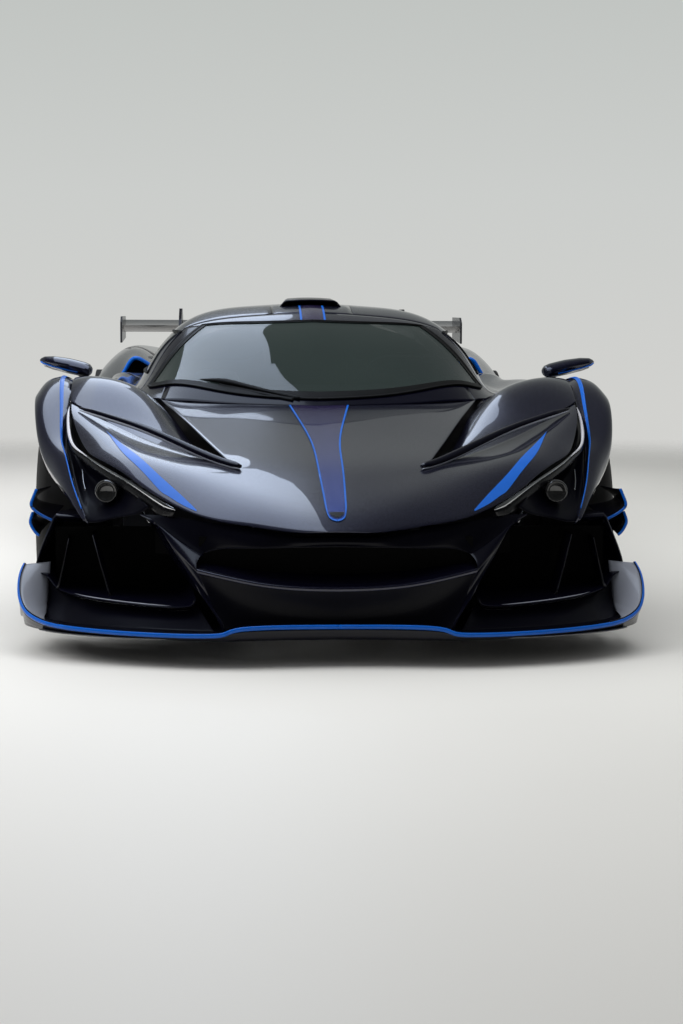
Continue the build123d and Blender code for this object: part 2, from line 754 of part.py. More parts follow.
def wishbone(pin, feet, low, high, bore):
    """Flat V-shaped arm from an eye at pin to two feet, between two heights."""
    with BuildPart() as arm:
        with BuildSketch(Plane.XY.offset(low)):
            for x, y in feet:
                inner_end = [(x, y + 14), (x, y - 14)]
                with BuildLine():
                    Polyline((pin[0] + 8, pin[1] - 11), (pin[0] + 8, pin[1] + 11), *inner_end, close=True)
                make_face()
            with Locations(pin):
                Circle(26)
                if bore:
                    Circle(bore, mode=Mode.SUBTRACT)
        extrude(amount=high - low)
    return arm.part


front_pin = (kingpin_x, front_axle_y)
front_feet = [(258, front_axle_y - 160), (258, front_axle_y + 160)]
upper_arm = wishbone(front_pin, front_feet, 445, 465, 14.05)
lower_arm = wishbone(front_pin, [(260, y) for x, y in front_feet], 215, 235, 14.05)
tower = block(230, 30, 1130 - 180, 1130 + 180, 420, 470)
with BuildPart() as front_suspension:
    add(upper_arm)
    add(lower_arm)
    add(tower)
    mirror(about=Plane.YZ)
save(front_suspension.part, "front_suspension")

# Engine and gearbox: plain blocks on the floor pan.
engine_blocks = [
    # centre x, half width, front, rear, low, high
    (0, 230, 3060, 3750, floor_top, 560),
    (0, 120, 3160, 3650, 560, 640),
    (0, 160, 3750, 4250, floor_top, 480),
]
engine_parts = [block(*row) for row in engine_blocks]
with BuildPart() as engine:
    add(engine_parts)
save(engine.part, "engine")

rear_carrier = carrier(rear_track_half, rear_axle_y, rear_tyre_radius, None)
rear_pin = (rear_track_half - kingpin_inset, rear_axle_y)
rear_feet = [(160, rear_axle_y - 40), (160, rear_axle_y + 220)]
rear_arms = [wishbone(rear_pin, rear_feet, low, low + 20, 0) for low in (265, 440)]
drive_shaft = ring(0, rear_axle_y, rear_tyre_radius, 160, rear_track_half - 140, 0, 18)
with BuildPart() as rear_suspension:
    add(rear_carrier)
    add(rear_arms[0])
    add(rear_arms[1])
    add(drive_shaft)
    mirror(about=Plane.YZ)
save(rear_suspension.part, "rear_suspension")

# Diffuser: a rising floor behind the rear axle with upright strakes.
diffuser_side = side((4300, floor_z), (4300, floor_top), (4960, 333), (4960, 313), (4310, floor_z))
strake_side = side((4340, 100), (4960, 320), (4960, 190), (4700, 110), (4400, 96))
strake_xs = (140, 330, 520, 700, 846)
diffuser_plate = prism_side(diffuser_side, -5, 855)
strakes = [prism_side(strake_side, x - 5, x + 5) for x in strake_xs]
with BuildPart() as diffuser:
    add(diffuser_plate)
    add(strakes)
    mirror(about=Plane.YZ)
save(diffuser.part, "diffuser")

# Tail panel: the deck behind the engine cover and the upright rear wall, pierced by three pipes.
pipe_places = [(0, 640, 48), (-120, 600, 48), (120, 600, 48)]
tail_slab = block(0, half_width, 4795, 4825, 150, 900)
tail_floor_cut = prism_side(side((4290, floor_top), (4300, floor_top), (4960, 333), (4960, 0),
    (4290, 0)), -5, 1000)
with BuildPart() as pipe_holes:
    with BuildSketch(Plane.XZ.offset(-at(4700))):
        for x, z, radius in pipe_places:
            with Locations((x, z)):
                Circle(radius)
    extrude(amount=at(4700) - at(4900))
with BuildPart() as tail_half:
    add(rear_inner)
    add(tail_slab, mode=Mode.INTERSECT)
    add(tail_floor_cut, mode=Mode.SUBTRACT)
with BuildPart() as deck_half:
    add(rear_sheet)
    add(deck_region, mode=Mode.INTERSECT)
with BuildPart() as tail_panel:
    add(tail_half.part)
    add(deck_half.part)
    mirror(about=Plane.YZ)
    add(pipe_holes.part, mode=Mode.SUBTRACT)
save(tail_panel.part, "tail_panel")

# Tail lamps: a slim bar on each side of the rear wall.
with BuildPart() as tail_lamps:
    with BuildSketch(Plane.XZ.offset(-at(4825))):
        with BuildLine():
            Polyline((430, 640), (840, 690), (850, 725), (430, 672), close=True)
        make_face()
    extrude(amount=-12)
    mirror(about=Plane.YZ)
save(tail_lamps.part, "tail_lamps")

# Exhausts: three short pipes held in the rear wall.
with BuildPart() as exhausts:
    with BuildSketch(Plane.XZ.offset(-at(4560))):
        for x, z, radius in pipe_places:
            with Locations((x, z)):
                Circle(radius)
                Circle(radius - 6, mode=Mode.SUBTRACT)
    extrude(amount=at(4560) - at(4890))
save(exhausts.part, "exhausts")

# Rear wing: an aerofoil between two endplates.
wing_back, wing_z = 4700, 975
wing_half = 878
wing_front = (at(wing_back), wing_z)
wing_rear_y = at(5060)
with BuildPart() as rear_wing:
    with BuildSketch(Plane.YZ.offset(-wing_half)):
        with BuildLine():
            ThreePointArc(wing_front, (at(wing_back + 120), wing_z - 34), (wing_rear_y, wing_z + 22))
            Line((wing_rear_y, wing_z + 22), (wing_rear_y, wing_z + 26))
            ThreePointArc((wing_rear_y, wing_z + 26), (at(wing_back + 130), wing_z + 6), wing_front)
        make_face()
    extrude(amount=2 * wing_half)
wing_block = rear_wing.part
endplate = prism_side(side((4680, 885), (4680, 990), (4730, 1020), (5066, 1020),
    (5066, 905)), wing_half, wing_half + 10)
with BuildPart() as rear_wing:
    add(wing_block)
    add(endplate)
    add(endplate.mirror(Plane.YZ))
save(rear_wing.part, "rear_wing")

# Wing pylons: swan necks that rise from the deck and carry the wing from above.
pylon_outline = [(4380, 700), (4420, 900), (4520, 1010), (4650, 1062), (4800, 1062), (4900, 1020),
    (4900, 960), (4760, 960), (4760, 1000), (4660, 1000), (4590, 960), (4560, 880), (4560, 700)]
pylon_block = prism_side(side(*pylon_outline), 568, 582)
with BuildPart() as wing_pylons:
    add(pylon_block)
    add(rear_outer, mode=Mode.SUBTRACT)
    add(wing_block, mode=Mode.SUBTRACT)
    mirror(about=Plane.YZ)
save(wing_pylons.part, "wing_pylons")

# Mirrors: a rounded pod on a slim stalk from the fender's shoulder.
pod_half = (90, 55, 38)
with BuildPart() as pod:
    with BuildSketch(Plane.XY.offset(850 - pod_half[2])):
        with Locations((out(928), at(1480))):
            RectangleRounded(2 * pod_half[0], 2 * pod_half[1], 40)
    extrude(amount=2 * pod_half[2])
    fillet(pod.faces().sort_by(Axis.Z)[0].edges(), 24)
    fillet(pod.faces().sort_by(Axis.Z)[-1].edges(), 24)
stalk = front_cut([(700, 700), (730, 700), (905, 835), (905, 852), (870, 852)], 1490, 30)
with BuildPart() as mirrors:
    add(pod.part)
    add(stalk)
    add(fender_outer, mode=Mode.SUBTRACT)
    mirror(about=Plane.YZ)
save(mirrors.part, "mirrors")

# Wiper: one arm lying on the windscreen from its hub on the scuttle.
wiper_layer = half_hull(cabin_rows, -10, sill_top - 60)
wiper_line = plan((70, 1545), (330, 1585), (345, 1560), (375, 1560), (380, 1600), (585, 1725),
    (580, 1736), (330, 1600), (68, 1556))
wiper_region = prism_down(wiper_line, 650)
with BuildPart() as wiper:
    add(wiper_layer)
    add(cabin_outer, mode=Mode.SUBTRACT)
    add(wiper_region, mode=Mode.INTERSECT)
    mirror(about=Plane.YZ, mode=Mode.REPLACE)
save(wiper.part, "wiper")
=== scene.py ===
import json
import math

import bmesh
import bpy
import numpy as np
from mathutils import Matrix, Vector


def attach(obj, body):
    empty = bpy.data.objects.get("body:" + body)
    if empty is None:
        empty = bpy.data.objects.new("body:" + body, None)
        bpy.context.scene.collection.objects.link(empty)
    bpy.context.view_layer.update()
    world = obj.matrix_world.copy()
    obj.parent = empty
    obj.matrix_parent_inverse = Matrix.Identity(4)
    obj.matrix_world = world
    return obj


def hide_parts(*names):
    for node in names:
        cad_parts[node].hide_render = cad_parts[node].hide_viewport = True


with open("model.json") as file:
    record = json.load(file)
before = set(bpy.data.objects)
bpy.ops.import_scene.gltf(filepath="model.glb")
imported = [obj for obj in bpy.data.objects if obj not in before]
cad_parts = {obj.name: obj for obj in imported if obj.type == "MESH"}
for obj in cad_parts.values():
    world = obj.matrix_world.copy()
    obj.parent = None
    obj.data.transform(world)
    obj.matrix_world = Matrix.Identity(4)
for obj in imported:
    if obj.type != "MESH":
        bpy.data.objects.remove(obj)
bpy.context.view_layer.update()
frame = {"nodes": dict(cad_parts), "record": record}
nodes = frame["nodes"]
print("frame loaded:", len(nodes), "nodes")


class Sock:  # wraps one output socket of a node tree, so that sums and products add Math nodes
    def __init__(self, net, out):
        self.net, self.out = net, out

    def maths(self, operation, *values):
        return self.net.node("ShaderNodeMath", {"operation": operation}, values)

    def __add__(self, o): return self.maths("ADD", self, o)
    def __radd__(self, o): return self.maths("ADD", o, self)
    def __sub__(self, o): return self.maths("SUBTRACT", self, o)
    def __rsub__(self, o): return self.maths("SUBTRACT", o, self)
    def __mul__(self, o): return self.maths("MULTIPLY", self, o)
    def __rmul__(self, o): return self.maths("MULTIPLY", o, self)
    def __pow__(self, o): return self.maths("POWER", self, o)
    def __gt__(self, o): return self.maths("GREATER_THAN", self, o)
    def highest(self, o): return self.maths("MAXIMUM", self, o)
    def sin(self): return self.maths("SINE", self)


class Net:
    def __init__(self, tree):
        self.tree = tree
        tree.nodes.clear()

    def node(self, kind, settings=None, inputs=None, out=0):  # settings first, then values or links
        n = self.tree.nodes.new(kind)
        for k, v in (settings or {}).items():
            if k == "stops":
                ramp = n.color_ramp
                while len(ramp.elements) < len(v):
                    ramp.elements.new(.5)
                for e, (p, c) in zip(ramp.elements, v):
                    e.position, e.color = p, (*c, 1)
            else:
                setattr(n, k, v)
        items = inputs.items() if isinstance(inputs, dict) else enumerate(inputs or [])
        for k, v in items:
            s = n.inputs[k]
            if isinstance(v, Sock):
                self.tree.links.new(v.out, s)
            else:
                s.default_value = v
        return Sock(self, n.outputs[out])

    def ramped(self, x, start, end, first=0.0, last=1.0, smooth=False):  # x from start to end becomes first to last
        shape = {"interpolation_type": "SMOOTHSTEP"} if smooth else {}
        return self.node("ShaderNodeMapRange", shape, {0: x, 1: start, 2: end, 3: first, 4: last})

    def band(self, x, low, high, soft):  # 1 between low and high, falling off over soft on each side
        up = self.ramped(x, low - soft, low + soft, smooth=True)
        return up * self.ramped(x, high - soft, high + soft, 1.0, 0.0, smooth=True)

    def mix(self, f, a, b):
        return self.node("ShaderNodeMix", {"data_type": "RGBA"}, {0: f, 6: a, 7: b}, out=2)

    def coords(self):
        return self.node("ShaderNodeTexCoord", out=3)

    def split(self, v):
        n = self.tree.nodes.new("ShaderNodeSeparateXYZ")
        self.tree.links.new(v.out, n.inputs[0])
        return [Sock(self, o) for o in n.outputs]

    def noise(self, v, scale, detail=3.0):
        return self.node("ShaderNodeTexNoise", {}, {"Vector": v, "Scale": scale, "Detail": detail, "Roughness": .5})

    def bump(self, h, strength, distance):
        return self.node("ShaderNodeBump", {}, {"Strength": strength, "Distance": distance, "Height": h})


def rgb(*c):
    return (*c, 1.0)


def newMaterial(name, look, fixed):  # look(net) gives the linked sockets, fixed the constant ones
    m = bpy.data.materials.new(name)
    m.use_nodes = True
    net = Net(m.node_tree)
    shader = m.node_tree.nodes.new("ShaderNodeBsdfPrincipled")
    for k, v in fixed.items():
        shader.inputs[k].default_value = v
    for k, v in look(net).items():
        m.node_tree.links.new(v.out, shader.inputs[k])
    end = m.node_tree.nodes.new("ShaderNodeOutputMaterial")
    m.node_tree.links.new(shader.outputs[0], end.inputs[0])
    return m


def shine(coat=0.0, coatRough=.03, level=.5, metal=0.0):  # the constant sockets of a finish
    return {"Coat Weight": coat, "Coat Roughness": coatRough, "Specular IOR Level": level, "Metallic": metal}


def plain(name, dark, light, scale, low, high, relief=0.0, **fixed):  # noise moves colour and roughness, and relief in metres
    def look(net):
        f = net.noise(net.coords(), scale)
        out = {"Base Color": net.mix(f, rgb(*dark), rgb(*light)), "Roughness": low + (high - low) * f}
        if relief:
            out["Normal"] = net.bump(f, .5, relief)
        return out
    return newMaterial(name, look, shine(**fixed))


flakeSet = {"perMetre": 1500.0, "dark": (.006, .006, .014), "light": (.022, .024, .06)}
weaveSet = {"turnsPerMetre": 900.0, "dark": (.012, .013, .016), "light": (.022, .023, .028), "relief": .0002}
stripeSet = {"nose": -2.3, "screen": -1.1, "blue": (.006, .028, .2), "violet": (.022, .016, .06)}
glassTint = {"dark": (.02, .03, .03), "light": (.03, .045, .042), "cover": .55}


def paintLook(net):  # metal flakes: each cell of a fine Voronoi pattern has its own blue-black
    cell = net.node("ShaderNodeTexVoronoi", {"feature": "F1"}, {"Vector": net.coords(), "Scale": flakeSet["perMetre"]}, out=1)
    r, g, b = net.split(cell)
    return {"Base Color": net.mix(r * r, rgb(*flakeSet["dark"]), rgb(*flakeSet["light"])), "Roughness": .22 + .1 * g}


def weaveLook(net):  # two crossed sets of bars, one over the other by turns
    v = net.coords()
    x, y, z = net.split(v)
    over = (((x + z) * weaveSet["turnsPerMetre"]).sin() * ((y - z) * weaveSet["turnsPerMetre"]).sin()) > 0.0
    base = net.mix(over, rgb(*weaveSet["dark"]), rgb(*weaveSet["light"]))
    return {"Base Color": base, "Roughness": .3 + .15 * net.noise(v, 60.0), "Normal": net.bump(over, .3, weaveSet["relief"])}


def stripeLook(net):  # blue at the nose turning to violet at the windscreen, along y
    v = net.coords()
    back = net.ramped(net.split(v)[1], stripeSet["nose"], stripeSet["screen"])
    base = net.mix(back, rgb(*stripeSet["blue"]), rgb(*stripeSet["violet"]))
    return {"Base Color": base, "Roughness": .2 + .1 * net.noise(v, 12.0)}


def glassLook(net):
    f = net.noise(net.coords(), 2.0)
    base = net.mix(f, rgb(*glassTint["dark"]), rgb(*glassTint["light"]))
    return {"Base Color": base, "Roughness": .02 + .02 * f, "Alpha": glassTint["cover"] + .05 * f}


paint = newMaterial("bluBlackPaint", paintLook, {**shine(1.0, .02, metal=.6), "Coat IOR": 1.5})
carbon = newMaterial("carbonWeave", weaveLook, shine(.6, .08))
stripeBlue = newMaterial("stripeBlue", stripeLook, shine(1.0, .03, metal=.3))
glass = newMaterial("tintedGlass", glassLook, {**shine(1.0, 0.0), "IOR": 1.5})
gloss = plain("blackGloss", (.0012, .0012, .004), (.0025, .0025, .008), 8, .16, .28, coat=.22, coatRough=.04, level=.2)
deepBlack = plain("deepBlack", (.001, .001, .003), (.002, .002, .005), 9, .3, .45, coat=.05, coatRough=.1, level=.12)
meshBlack = plain("grilleBlack", (.0008, .0008, .001), (.002, .002, .0022), 300, .7, .9, level=.1)
lampBlack = plain("lampBlack", (.002, .002, .003), (.004, .004, .005), 40, .2, .35, coat=.15, coatRough=.05, level=.3)
frit = plain("glassBand", (.002, .002, .002), (.005, .005, .005), 50, .4, .55, coat=.04, coatRough=.1, level=.15)
# light grey satin: the colour of the painted highlights along the vent blades and intake lips, and of the painted
# reflection on the fence faces
satin = plain("satinGrey", (.2, .215, .26), (.26, .28, .33), 6, .25, .4, coat=.5, coatRough=.1)
blue = plain("blueEdge", (0, .08, .41), (.002, .105, .5), 30, .25, .35, coat=.25, coatRough=.04, level=.2)
rubber = plain("tyreRubber", (.012, .012, .012), (.025, .025, .026), 120, .6, .85, .0006)
alloy = plain("darkAlloy", (.05, .05, .055), (.08, .08, .085), 20, .25, .4, metal=.9)
steel = plain("castSteel", (.2, .2, .21), (.34, .34, .35), 60, .35, .6, .0008, metal=.8)
leather = plain("blackLeather", (.012, .012, .014), (.03, .03, .034), 260, .45, .6, .0008)
lampGlass = plain("lampGlass", (.25, .27, .3), (.35, .37, .4), 20, .1, .2, metal=.3)
chrome = plain("lampChrome", (.45, .46, .48), (.6, .61, .63), 30, .08, .16, metal=1.0)
lampWhite = plain("lampWhite", (.46, .47, .52), (.56, .57, .62), 40, .2, .3, coat=.6)
lensGlass = plain("lensGlass", (.01, .011, .012), (.03, .03, .03), 60, .04, .1, coat=1.0)
redLamp = plain("redLamp", (.25, 0, 0), (.5, .01, .01), 60, .1, .25, coat=1.0)

finishes = {
    "carbon_body": paint, "black_trim": gloss, "blue_edge": gloss, "bare_carbon": carbon, "glass": glass, "side_glass": glass,
    "mesh": meshBlack, "lamp": lampGlass, "tail_lamp": redLamp, "tub": carbon, "seat_cover": leather, "dash": leather,
    "wheel_cover": leather, "rubber": rubber, "alloy": alloy, "steel": steel, "cast_alloy": steel, "pipe": steel,
}
for part in frame["record"]["subparts"]:
    mesh = nodes[part["node"]].data
    mesh.materials.clear()
    mesh.materials.append(finishes[part["material_slot"]])
print("finishes done")

# surfaces: lengths are in metres, and s is the distance behind the nose
noseY = -2.533
mapSet = {"from": -.02, "to": 1.05, "columns": 215, "rows": 241, "fine": 121}  # the grid behind a height map
meshSet = {"merge": 2e-5, "smallest": 1e-6, "bevelAngle": 50, "bevelSteps": 2}


def spaced(points):  # (x, s, z) rows become (x, y, z)
    p = np.array(points, float)
    p[..., 1] += noseY
    return p


# natural cubic spline through the points along axis, even in index, read at count places
def through(p, count, axis=0):
    p = np.moveaxis(np.asarray(p, float), axis, 0)
    n = len(p)
    t = np.linspace(0, n - 1, count)
    column = (-1,) + (1,) * (p.ndim - 1)
    if n == 2:
        return np.moveaxis(p[0] + (p[1] - p[0]) * t.reshape(column), 0, axis)
    a = np.zeros((n, n))
    b = np.zeros_like(p)
    a[0, 0] = a[-1, -1] = 1
    for i in range(1, n - 1):
        a[i, i - 1:i + 2] = 1, 4, 1
        b[i] = 6 * (p[i + 1] - 2 * p[i] + p[i - 1])
    m = np.linalg.solve(a, b.reshape(n, -1)).reshape(p.shape)
    i = np.minimum(t.astype(int), n - 2)
    f = (t - i).reshape(column)
    g = 1 - f
    out = g * p[i] + f * p[i + 1] + (g ** 3 - g) * m[i] / 6 + (f ** 3 - f) * m[i + 1] / 6
    return np.moveaxis(out, 0, axis)


def bicubic(rows, nu, nv):  # surface through a net of points: splines along both directions of the net
    return through(through(spaced(rows), nu, 0), nv, 1)


def even(p, count):  # the same polyline with count points spaced evenly along its length
    step = np.r_[0, np.cumsum(np.linalg.norm(np.diff(p, axis=0), axis=1))]
    q = np.linspace(0, step[-1], count)
    return np.stack([np.interp(q, step, p[:, k]) for k in range(p.shape[1])], 1)


def line(points, count):  # a smooth line through (x, s, z) points, evenly spaced
    return even(through(spaced(points), 40 * len(points)), count)


def plan(points, count):  # a smooth line through (x, s) points, evenly spaced, or a straight one between two
    p = np.array(points, float)
    return np.linspace(*p, count) if len(p) == 2 else even(through(p, 30 * len(p)), count)


def along(count, places, values):  # values given at places from 0 to 1, read at count even places between
    return np.interp(np.linspace(0, 1, count), places, values)


def blend(a, b, f):
    return a * (1 - f) + b * f


def eased(t):  # 3 t squared less 2 t cubed, from 0 to 1
    t = np.clip(t, 0, 1)
    return t ** 2 * (3 - 2 * t)


def between(a, b, count, bulge=(0, 0, 0)):  # ruled sheet from line a to line b, swollen by bulge times a half sine
    t = np.linspace(0, 1, count)[:, None, None]
    return a[None] * (1 - t) + b[None] * t + np.sin(np.pi * t) * np.array(bulge)


def coons(bottom, top, left, right):  # the two ruled surfaces of four border lines added, less the plane of the corners
    u = np.linspace(0, 1, len(bottom))[None, :, None]
    v = np.linspace(0, 1, len(left))[:, None, None]
    ruled = (1 - v) * bottom[None] + v * top[None] + (1 - u) * left[:, None] + u * right[:, None]
    return ruled - ((1 - u) * (1 - v) * bottom[0] + u * (1 - v) * bottom[-1] + (1 - u) * v * top[0] + u * v * top[-1])


def patch(bottom, top, left, right, nu, nv):  # the same between four plan lines, each given as points
    return coons(plan(bottom, nu), plan(top, nu), plan(left, nv), plan(right, nv))


def heightMap(rows):  # height over the plan: splines through each section's (x, z) points, then along the car
    first, last, nx, ns = (mapSet[k] for k in ("from", "to", "columns", "rows"))
    fine = through(np.array([r[1:] for r in rows], float), mapSet["fine"], 1)
    xs = np.linspace(first, last, nx)
    zs = np.stack([np.interp(xs, f[:, 0], f[:, 1]) for f in fine])
    for k, f in enumerate(fine):  # run on straight past a section's ends
        lo, hi = xs < f[0, 0], xs > f[-1, 0]
        zs[k, hi] = f[-1, 1] + (xs[hi] - f[-1, 0]) * (f[-1, 1] - f[-8, 1]) / (f[-1, 0] - f[-8, 0])
        zs[k, lo] = f[0, 1] + (xs[lo] - f[0, 0]) * (f[7, 1] - f[0, 1]) / (f[7, 0] - f[0, 0])
    grid = through(zs, ns)
    stations = through(np.array([r[0] for r in rows], float), ns)

    def height(x, s):
        j = np.clip(np.interp(s, stations, np.arange(ns)), 0, ns - 1.001)
        i = np.clip((x - first) / (last - first) * (nx - 1), 0, nx - 1.001)
        j0, i0 = j.astype(int), i.astype(int)
        a, b = j - j0, i - i0
        near = (1 - b) * grid[j0, i0] + b * grid[j0, i0 + 1]
        return (1 - a) * near + a * ((1 - b) * grid[j0 + 1, i0] + b * grid[j0 + 1, i0 + 1])

    return height


def draped(flat, height):  # a flat patch of (x, s) points laid on a height map
    x, s = flat[..., 0], flat[..., 1]
    return np.stack([x, s + noseY, height(x, s)], -1)


def placed(name, data):
    o = bpy.data.objects.new(name, data)
    bpy.context.scene.collection.objects.link(o)
    return o


def meshOf(name, verts, faces):
    mesh = bpy.data.meshes.new(name)
    mesh.from_pydata(verts, [], faces)
    return mesh


def gridFaces(nv, nu, start, flip):
    a = start + np.arange(nv - 1)[:, None] * nu + np.arange(nu - 1)[None]
    f = np.stack([a, a + 1, a + nu + 1, a + nu], -1).reshape(-1, 4)
    return f[:, ::-1] if flip else f


def addMesh(name, grids, flips, both, mat, body, thick, bevel, hide):  # grids of points joined into one mesh
    verts, faces, n = [], [], 0
    for g, flip in zip(grids, flips):
        for side in ((1, -1) if both else (1,)):
            faces.append(gridFaces(*g.shape[:2], n, flip == (side > 0)))
            verts.append(g.reshape(-1, 3) * (side, 1, 1))
            n += len(verts[-1])
    mesh = meshOf(name, np.concatenate(verts).tolist(), np.concatenate(faces).tolist())
    bm = bmesh.new()
    bm.from_mesh(mesh)
    bmesh.ops.remove_doubles(bm, verts=bm.verts, dist=meshSet["merge"])
    bmesh.ops.dissolve_degenerate(bm, edges=bm.edges, dist=meshSet["smallest"])
    bm.to_mesh(mesh)
    bm.free()
    mesh.shade_smooth()
    mesh.materials.append(mat)
    o = placed(name, mesh)
    if thick:
        mod = o.modifiers.new("wall", "SOLIDIFY")
        mod.thickness, mod.offset, mod.use_even_offset = thick, -1, False
    if bevel:
        mod = o.modifiers.new("edge", "BEVEL")
        mod.width, mod.segments = bevel, meshSet["bevelSteps"]
        mod.limit_method, mod.angle_limit = "ANGLE", math.radians(meshSet["bevelAngle"])
        mod.harden_normals = False
    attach(o, body)
    if hide:
        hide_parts(*hide)
    return o


# each grid is turned to face outward, and thickened inwards; both adds its mirror image
def skin(name, grids, outward, mat, body="body", thick=.004, bevel=.0012, both=True, hide=(), slotName=None):
    flips = []
    for g in grids:
        e1, e2 = g[1:, :-1] - g[:-1, :-1], g[:-1, 1:] - g[:-1, :-1]
        normal = np.cross(e2, e1).reshape(-1, 3).sum(0)
        flips.append(np.dot(normal, outward(g) if callable(outward) else outward) < 0)
    return addMesh(name, grids, flips, both, mat, body, thick, bevel, hide)


# a round bar along a path: circles set square to its direction, closed to a point at the ends
def tube(points, radius, squash=(1, 1), sides=10):
    p = np.asarray(points, float)
    d = np.gradient(p, axis=0)
    d /= np.linalg.norm(d, axis=1)[:, None]
    up = np.where(np.abs(d[:, 2:3]) > .9, (1.0, 0, 0), (0, 0, 1.0))
    a = np.cross(d, up)
    a /= np.linalg.norm(a, axis=1)[:, None]
    b = np.cross(a, d)
    w = np.linspace(0, 2 * np.pi, sides + 1)[None, :, None]
    r = np.broadcast_to(np.asarray(radius, float), (len(p),))[:, None, None]
    g = p[:, None] + r * (np.cos(w) * a[:, None] * squash[0] + np.sin(w) * b[:, None] * squash[1])
    tip, end = (np.broadcast_to(q, (1, sides + 1, 3)) for q in (p[0], p[-1]))
    return np.concatenate([tip, g, end])[:, ::-1]


# several bars as one mesh, each (points, radius) or (points, radius, squash)
def bars(name, paths, mat, body="body", both=True, hide=(), slotName=None, sides=10):
    grids = [tube(*p, sides=sides) for p in paths]
    return addMesh(name, grids, [False] * len(grids), both, mat, body, 0, 0, hide)


upward, forward = (0, 0, 1.0), (.1, -1.0, .1)
flatSkin = {"thick": 0, "bevel": 0}
trim, shell, lampSlot, splitSlot = ({"slotName": s} for s in ("black_trim", "carbon_body", "lamp", "blue_edge"))

# bonnet and domes: rows of (s, then (x, z) points), and the shut line and vent corners in plan
bonnetSet = {"wingCrown": .022, "joinCrown": .01, "vent": ((.304, .55), (.836, .98), (.575, 1.474))}
bonnetZ = heightMap([
    (.12, (0, .398), (.035, .3975), (.07, .396), (.13, .391), (.2, .38)),
    (.22, (0, .448), (.1, .4475), (.2, .445), (.32, .44), (.45, .429)),
    (.42, (0, .508), (.145, .511), (.29, .518), (.48, .531), (.69, .542)),
    (.65, (0, .563), (.16, .567), (.32, .576), (.58, .596), (.845, .619)),
    (1.0, (0, .624), (.19, .628), (.38, .64), (.62, .681), (.91, .755)),
    (1.48, (0, .712), (.28, .719), (.56, .733), (.72, .768), (.935, .8)),
])
domeZ = heightMap([
    (.55, (.28, .5), (.4, .512), (.5, .52), (.6, .528), (.7, .532), (.8, .534), (.9, .534)),
    (.7, (.28, .508), (.4, .53), (.5, .553), (.6, .578), (.7, .598), (.8, .604), (.9, .6)),
    (.85, (.33, .525), (.42, .553), (.5, .585), (.6, .625), (.7, .655), (.8, .668), (.9, .66)),
    (1.0, (.38, .57), (.45, .6), (.55, .655), (.65, .708), (.75, .738), (.85, .743), (.92, .73)),
    (1.2, (.44, .605), (.5, .655), (.6, .752), (.7, .806), (.8, .822), (.875, .812), (.92, .8)),
    (1.4, (.5, .665), (.56, .7), (.65, .762), (.75, .797), (.84, .812), (.9, .806), (.94, .79)),
    (1.56, (.56, .722), (.62, .74), (.7, .762), (.78, .778), (.86, .788), (.9, .78), (.94, .77)),
])
bonnetEdge = [(.274, .17), (.407, .22), (.547, .32), (.642, .42), (.741, .55), (.794, .65), (.846, .85), (.862, 1.0)]
bonnetNose = [(0, .118), (.075, .12), (.15, .133), (.274, .17)]
ventA, ventB, ventC = bonnetSet["vent"]
middle, noseTip, tail = (0, .5), bonnetNose[-1], (0, 1.474)
wing = patch(bonnetEdge, [ventA, ventB], [noseTip, ventA], [bonnetEdge[-1], ventB], 70, 30)
front = patch(bonnetNose, [middle, ventA], [bonnetNose[0], middle], [noseTip, ventA], 40, 30)
rear = patch([middle, ventA], [tail, ventC], [middle, tail], [ventA, ventC], 40, 50)
bonnetTops = [draped(g, bonnetZ) for g in (wing, front, rear)]
# the wing and front patches swell between their edges: 1.6 sin(pi t) (1 - t) across, eased along
t = np.linspace(0, 1, 30)
swell = 1.6 * np.sin(np.pi * t) * (1 - t)
u = np.linspace(0, 1, 70)
crown = bonnetSet["joinCrown"] + (bonnetSet["wingCrown"] - bonnetSet["joinCrown"]) * eased(u / .45)
bonnetTops[0][..., 2] += swell[:, None] * (crown * eased((1 - u) / .4))[None]
bonnetTops[1][..., 2] += swell[:, None] * (bonnetSet["joinCrown"] * eased(np.linspace(0, 1, 40)))[None]
skin("bonnetSkin", bonnetTops, upward, paint, hide=("bonnet",), **shell)
domeFoot, domeIn, domeOut, domeMid = (.846, .992), (.318, .566), (.868, 1.02), (.455, 1.02)
domeFront = patch([domeFoot, domeIn], [domeOut, domeMid], [domeFoot, domeOut], [domeIn, (.387, .8), domeMid], 60, 20)
domeRear = patch([domeOut, domeMid], [(.846, 1.56), (.61, 1.5)], [domeOut, (.87, 1.25), (.846, 1.56)],
    [domeMid, (.52, 1.25), (.584, 1.474), (.61, 1.5)], 60, 40)
skin("domeSkin", [draped(g, domeZ) for g in (domeFront, domeRear)], upward, paint, **shell)

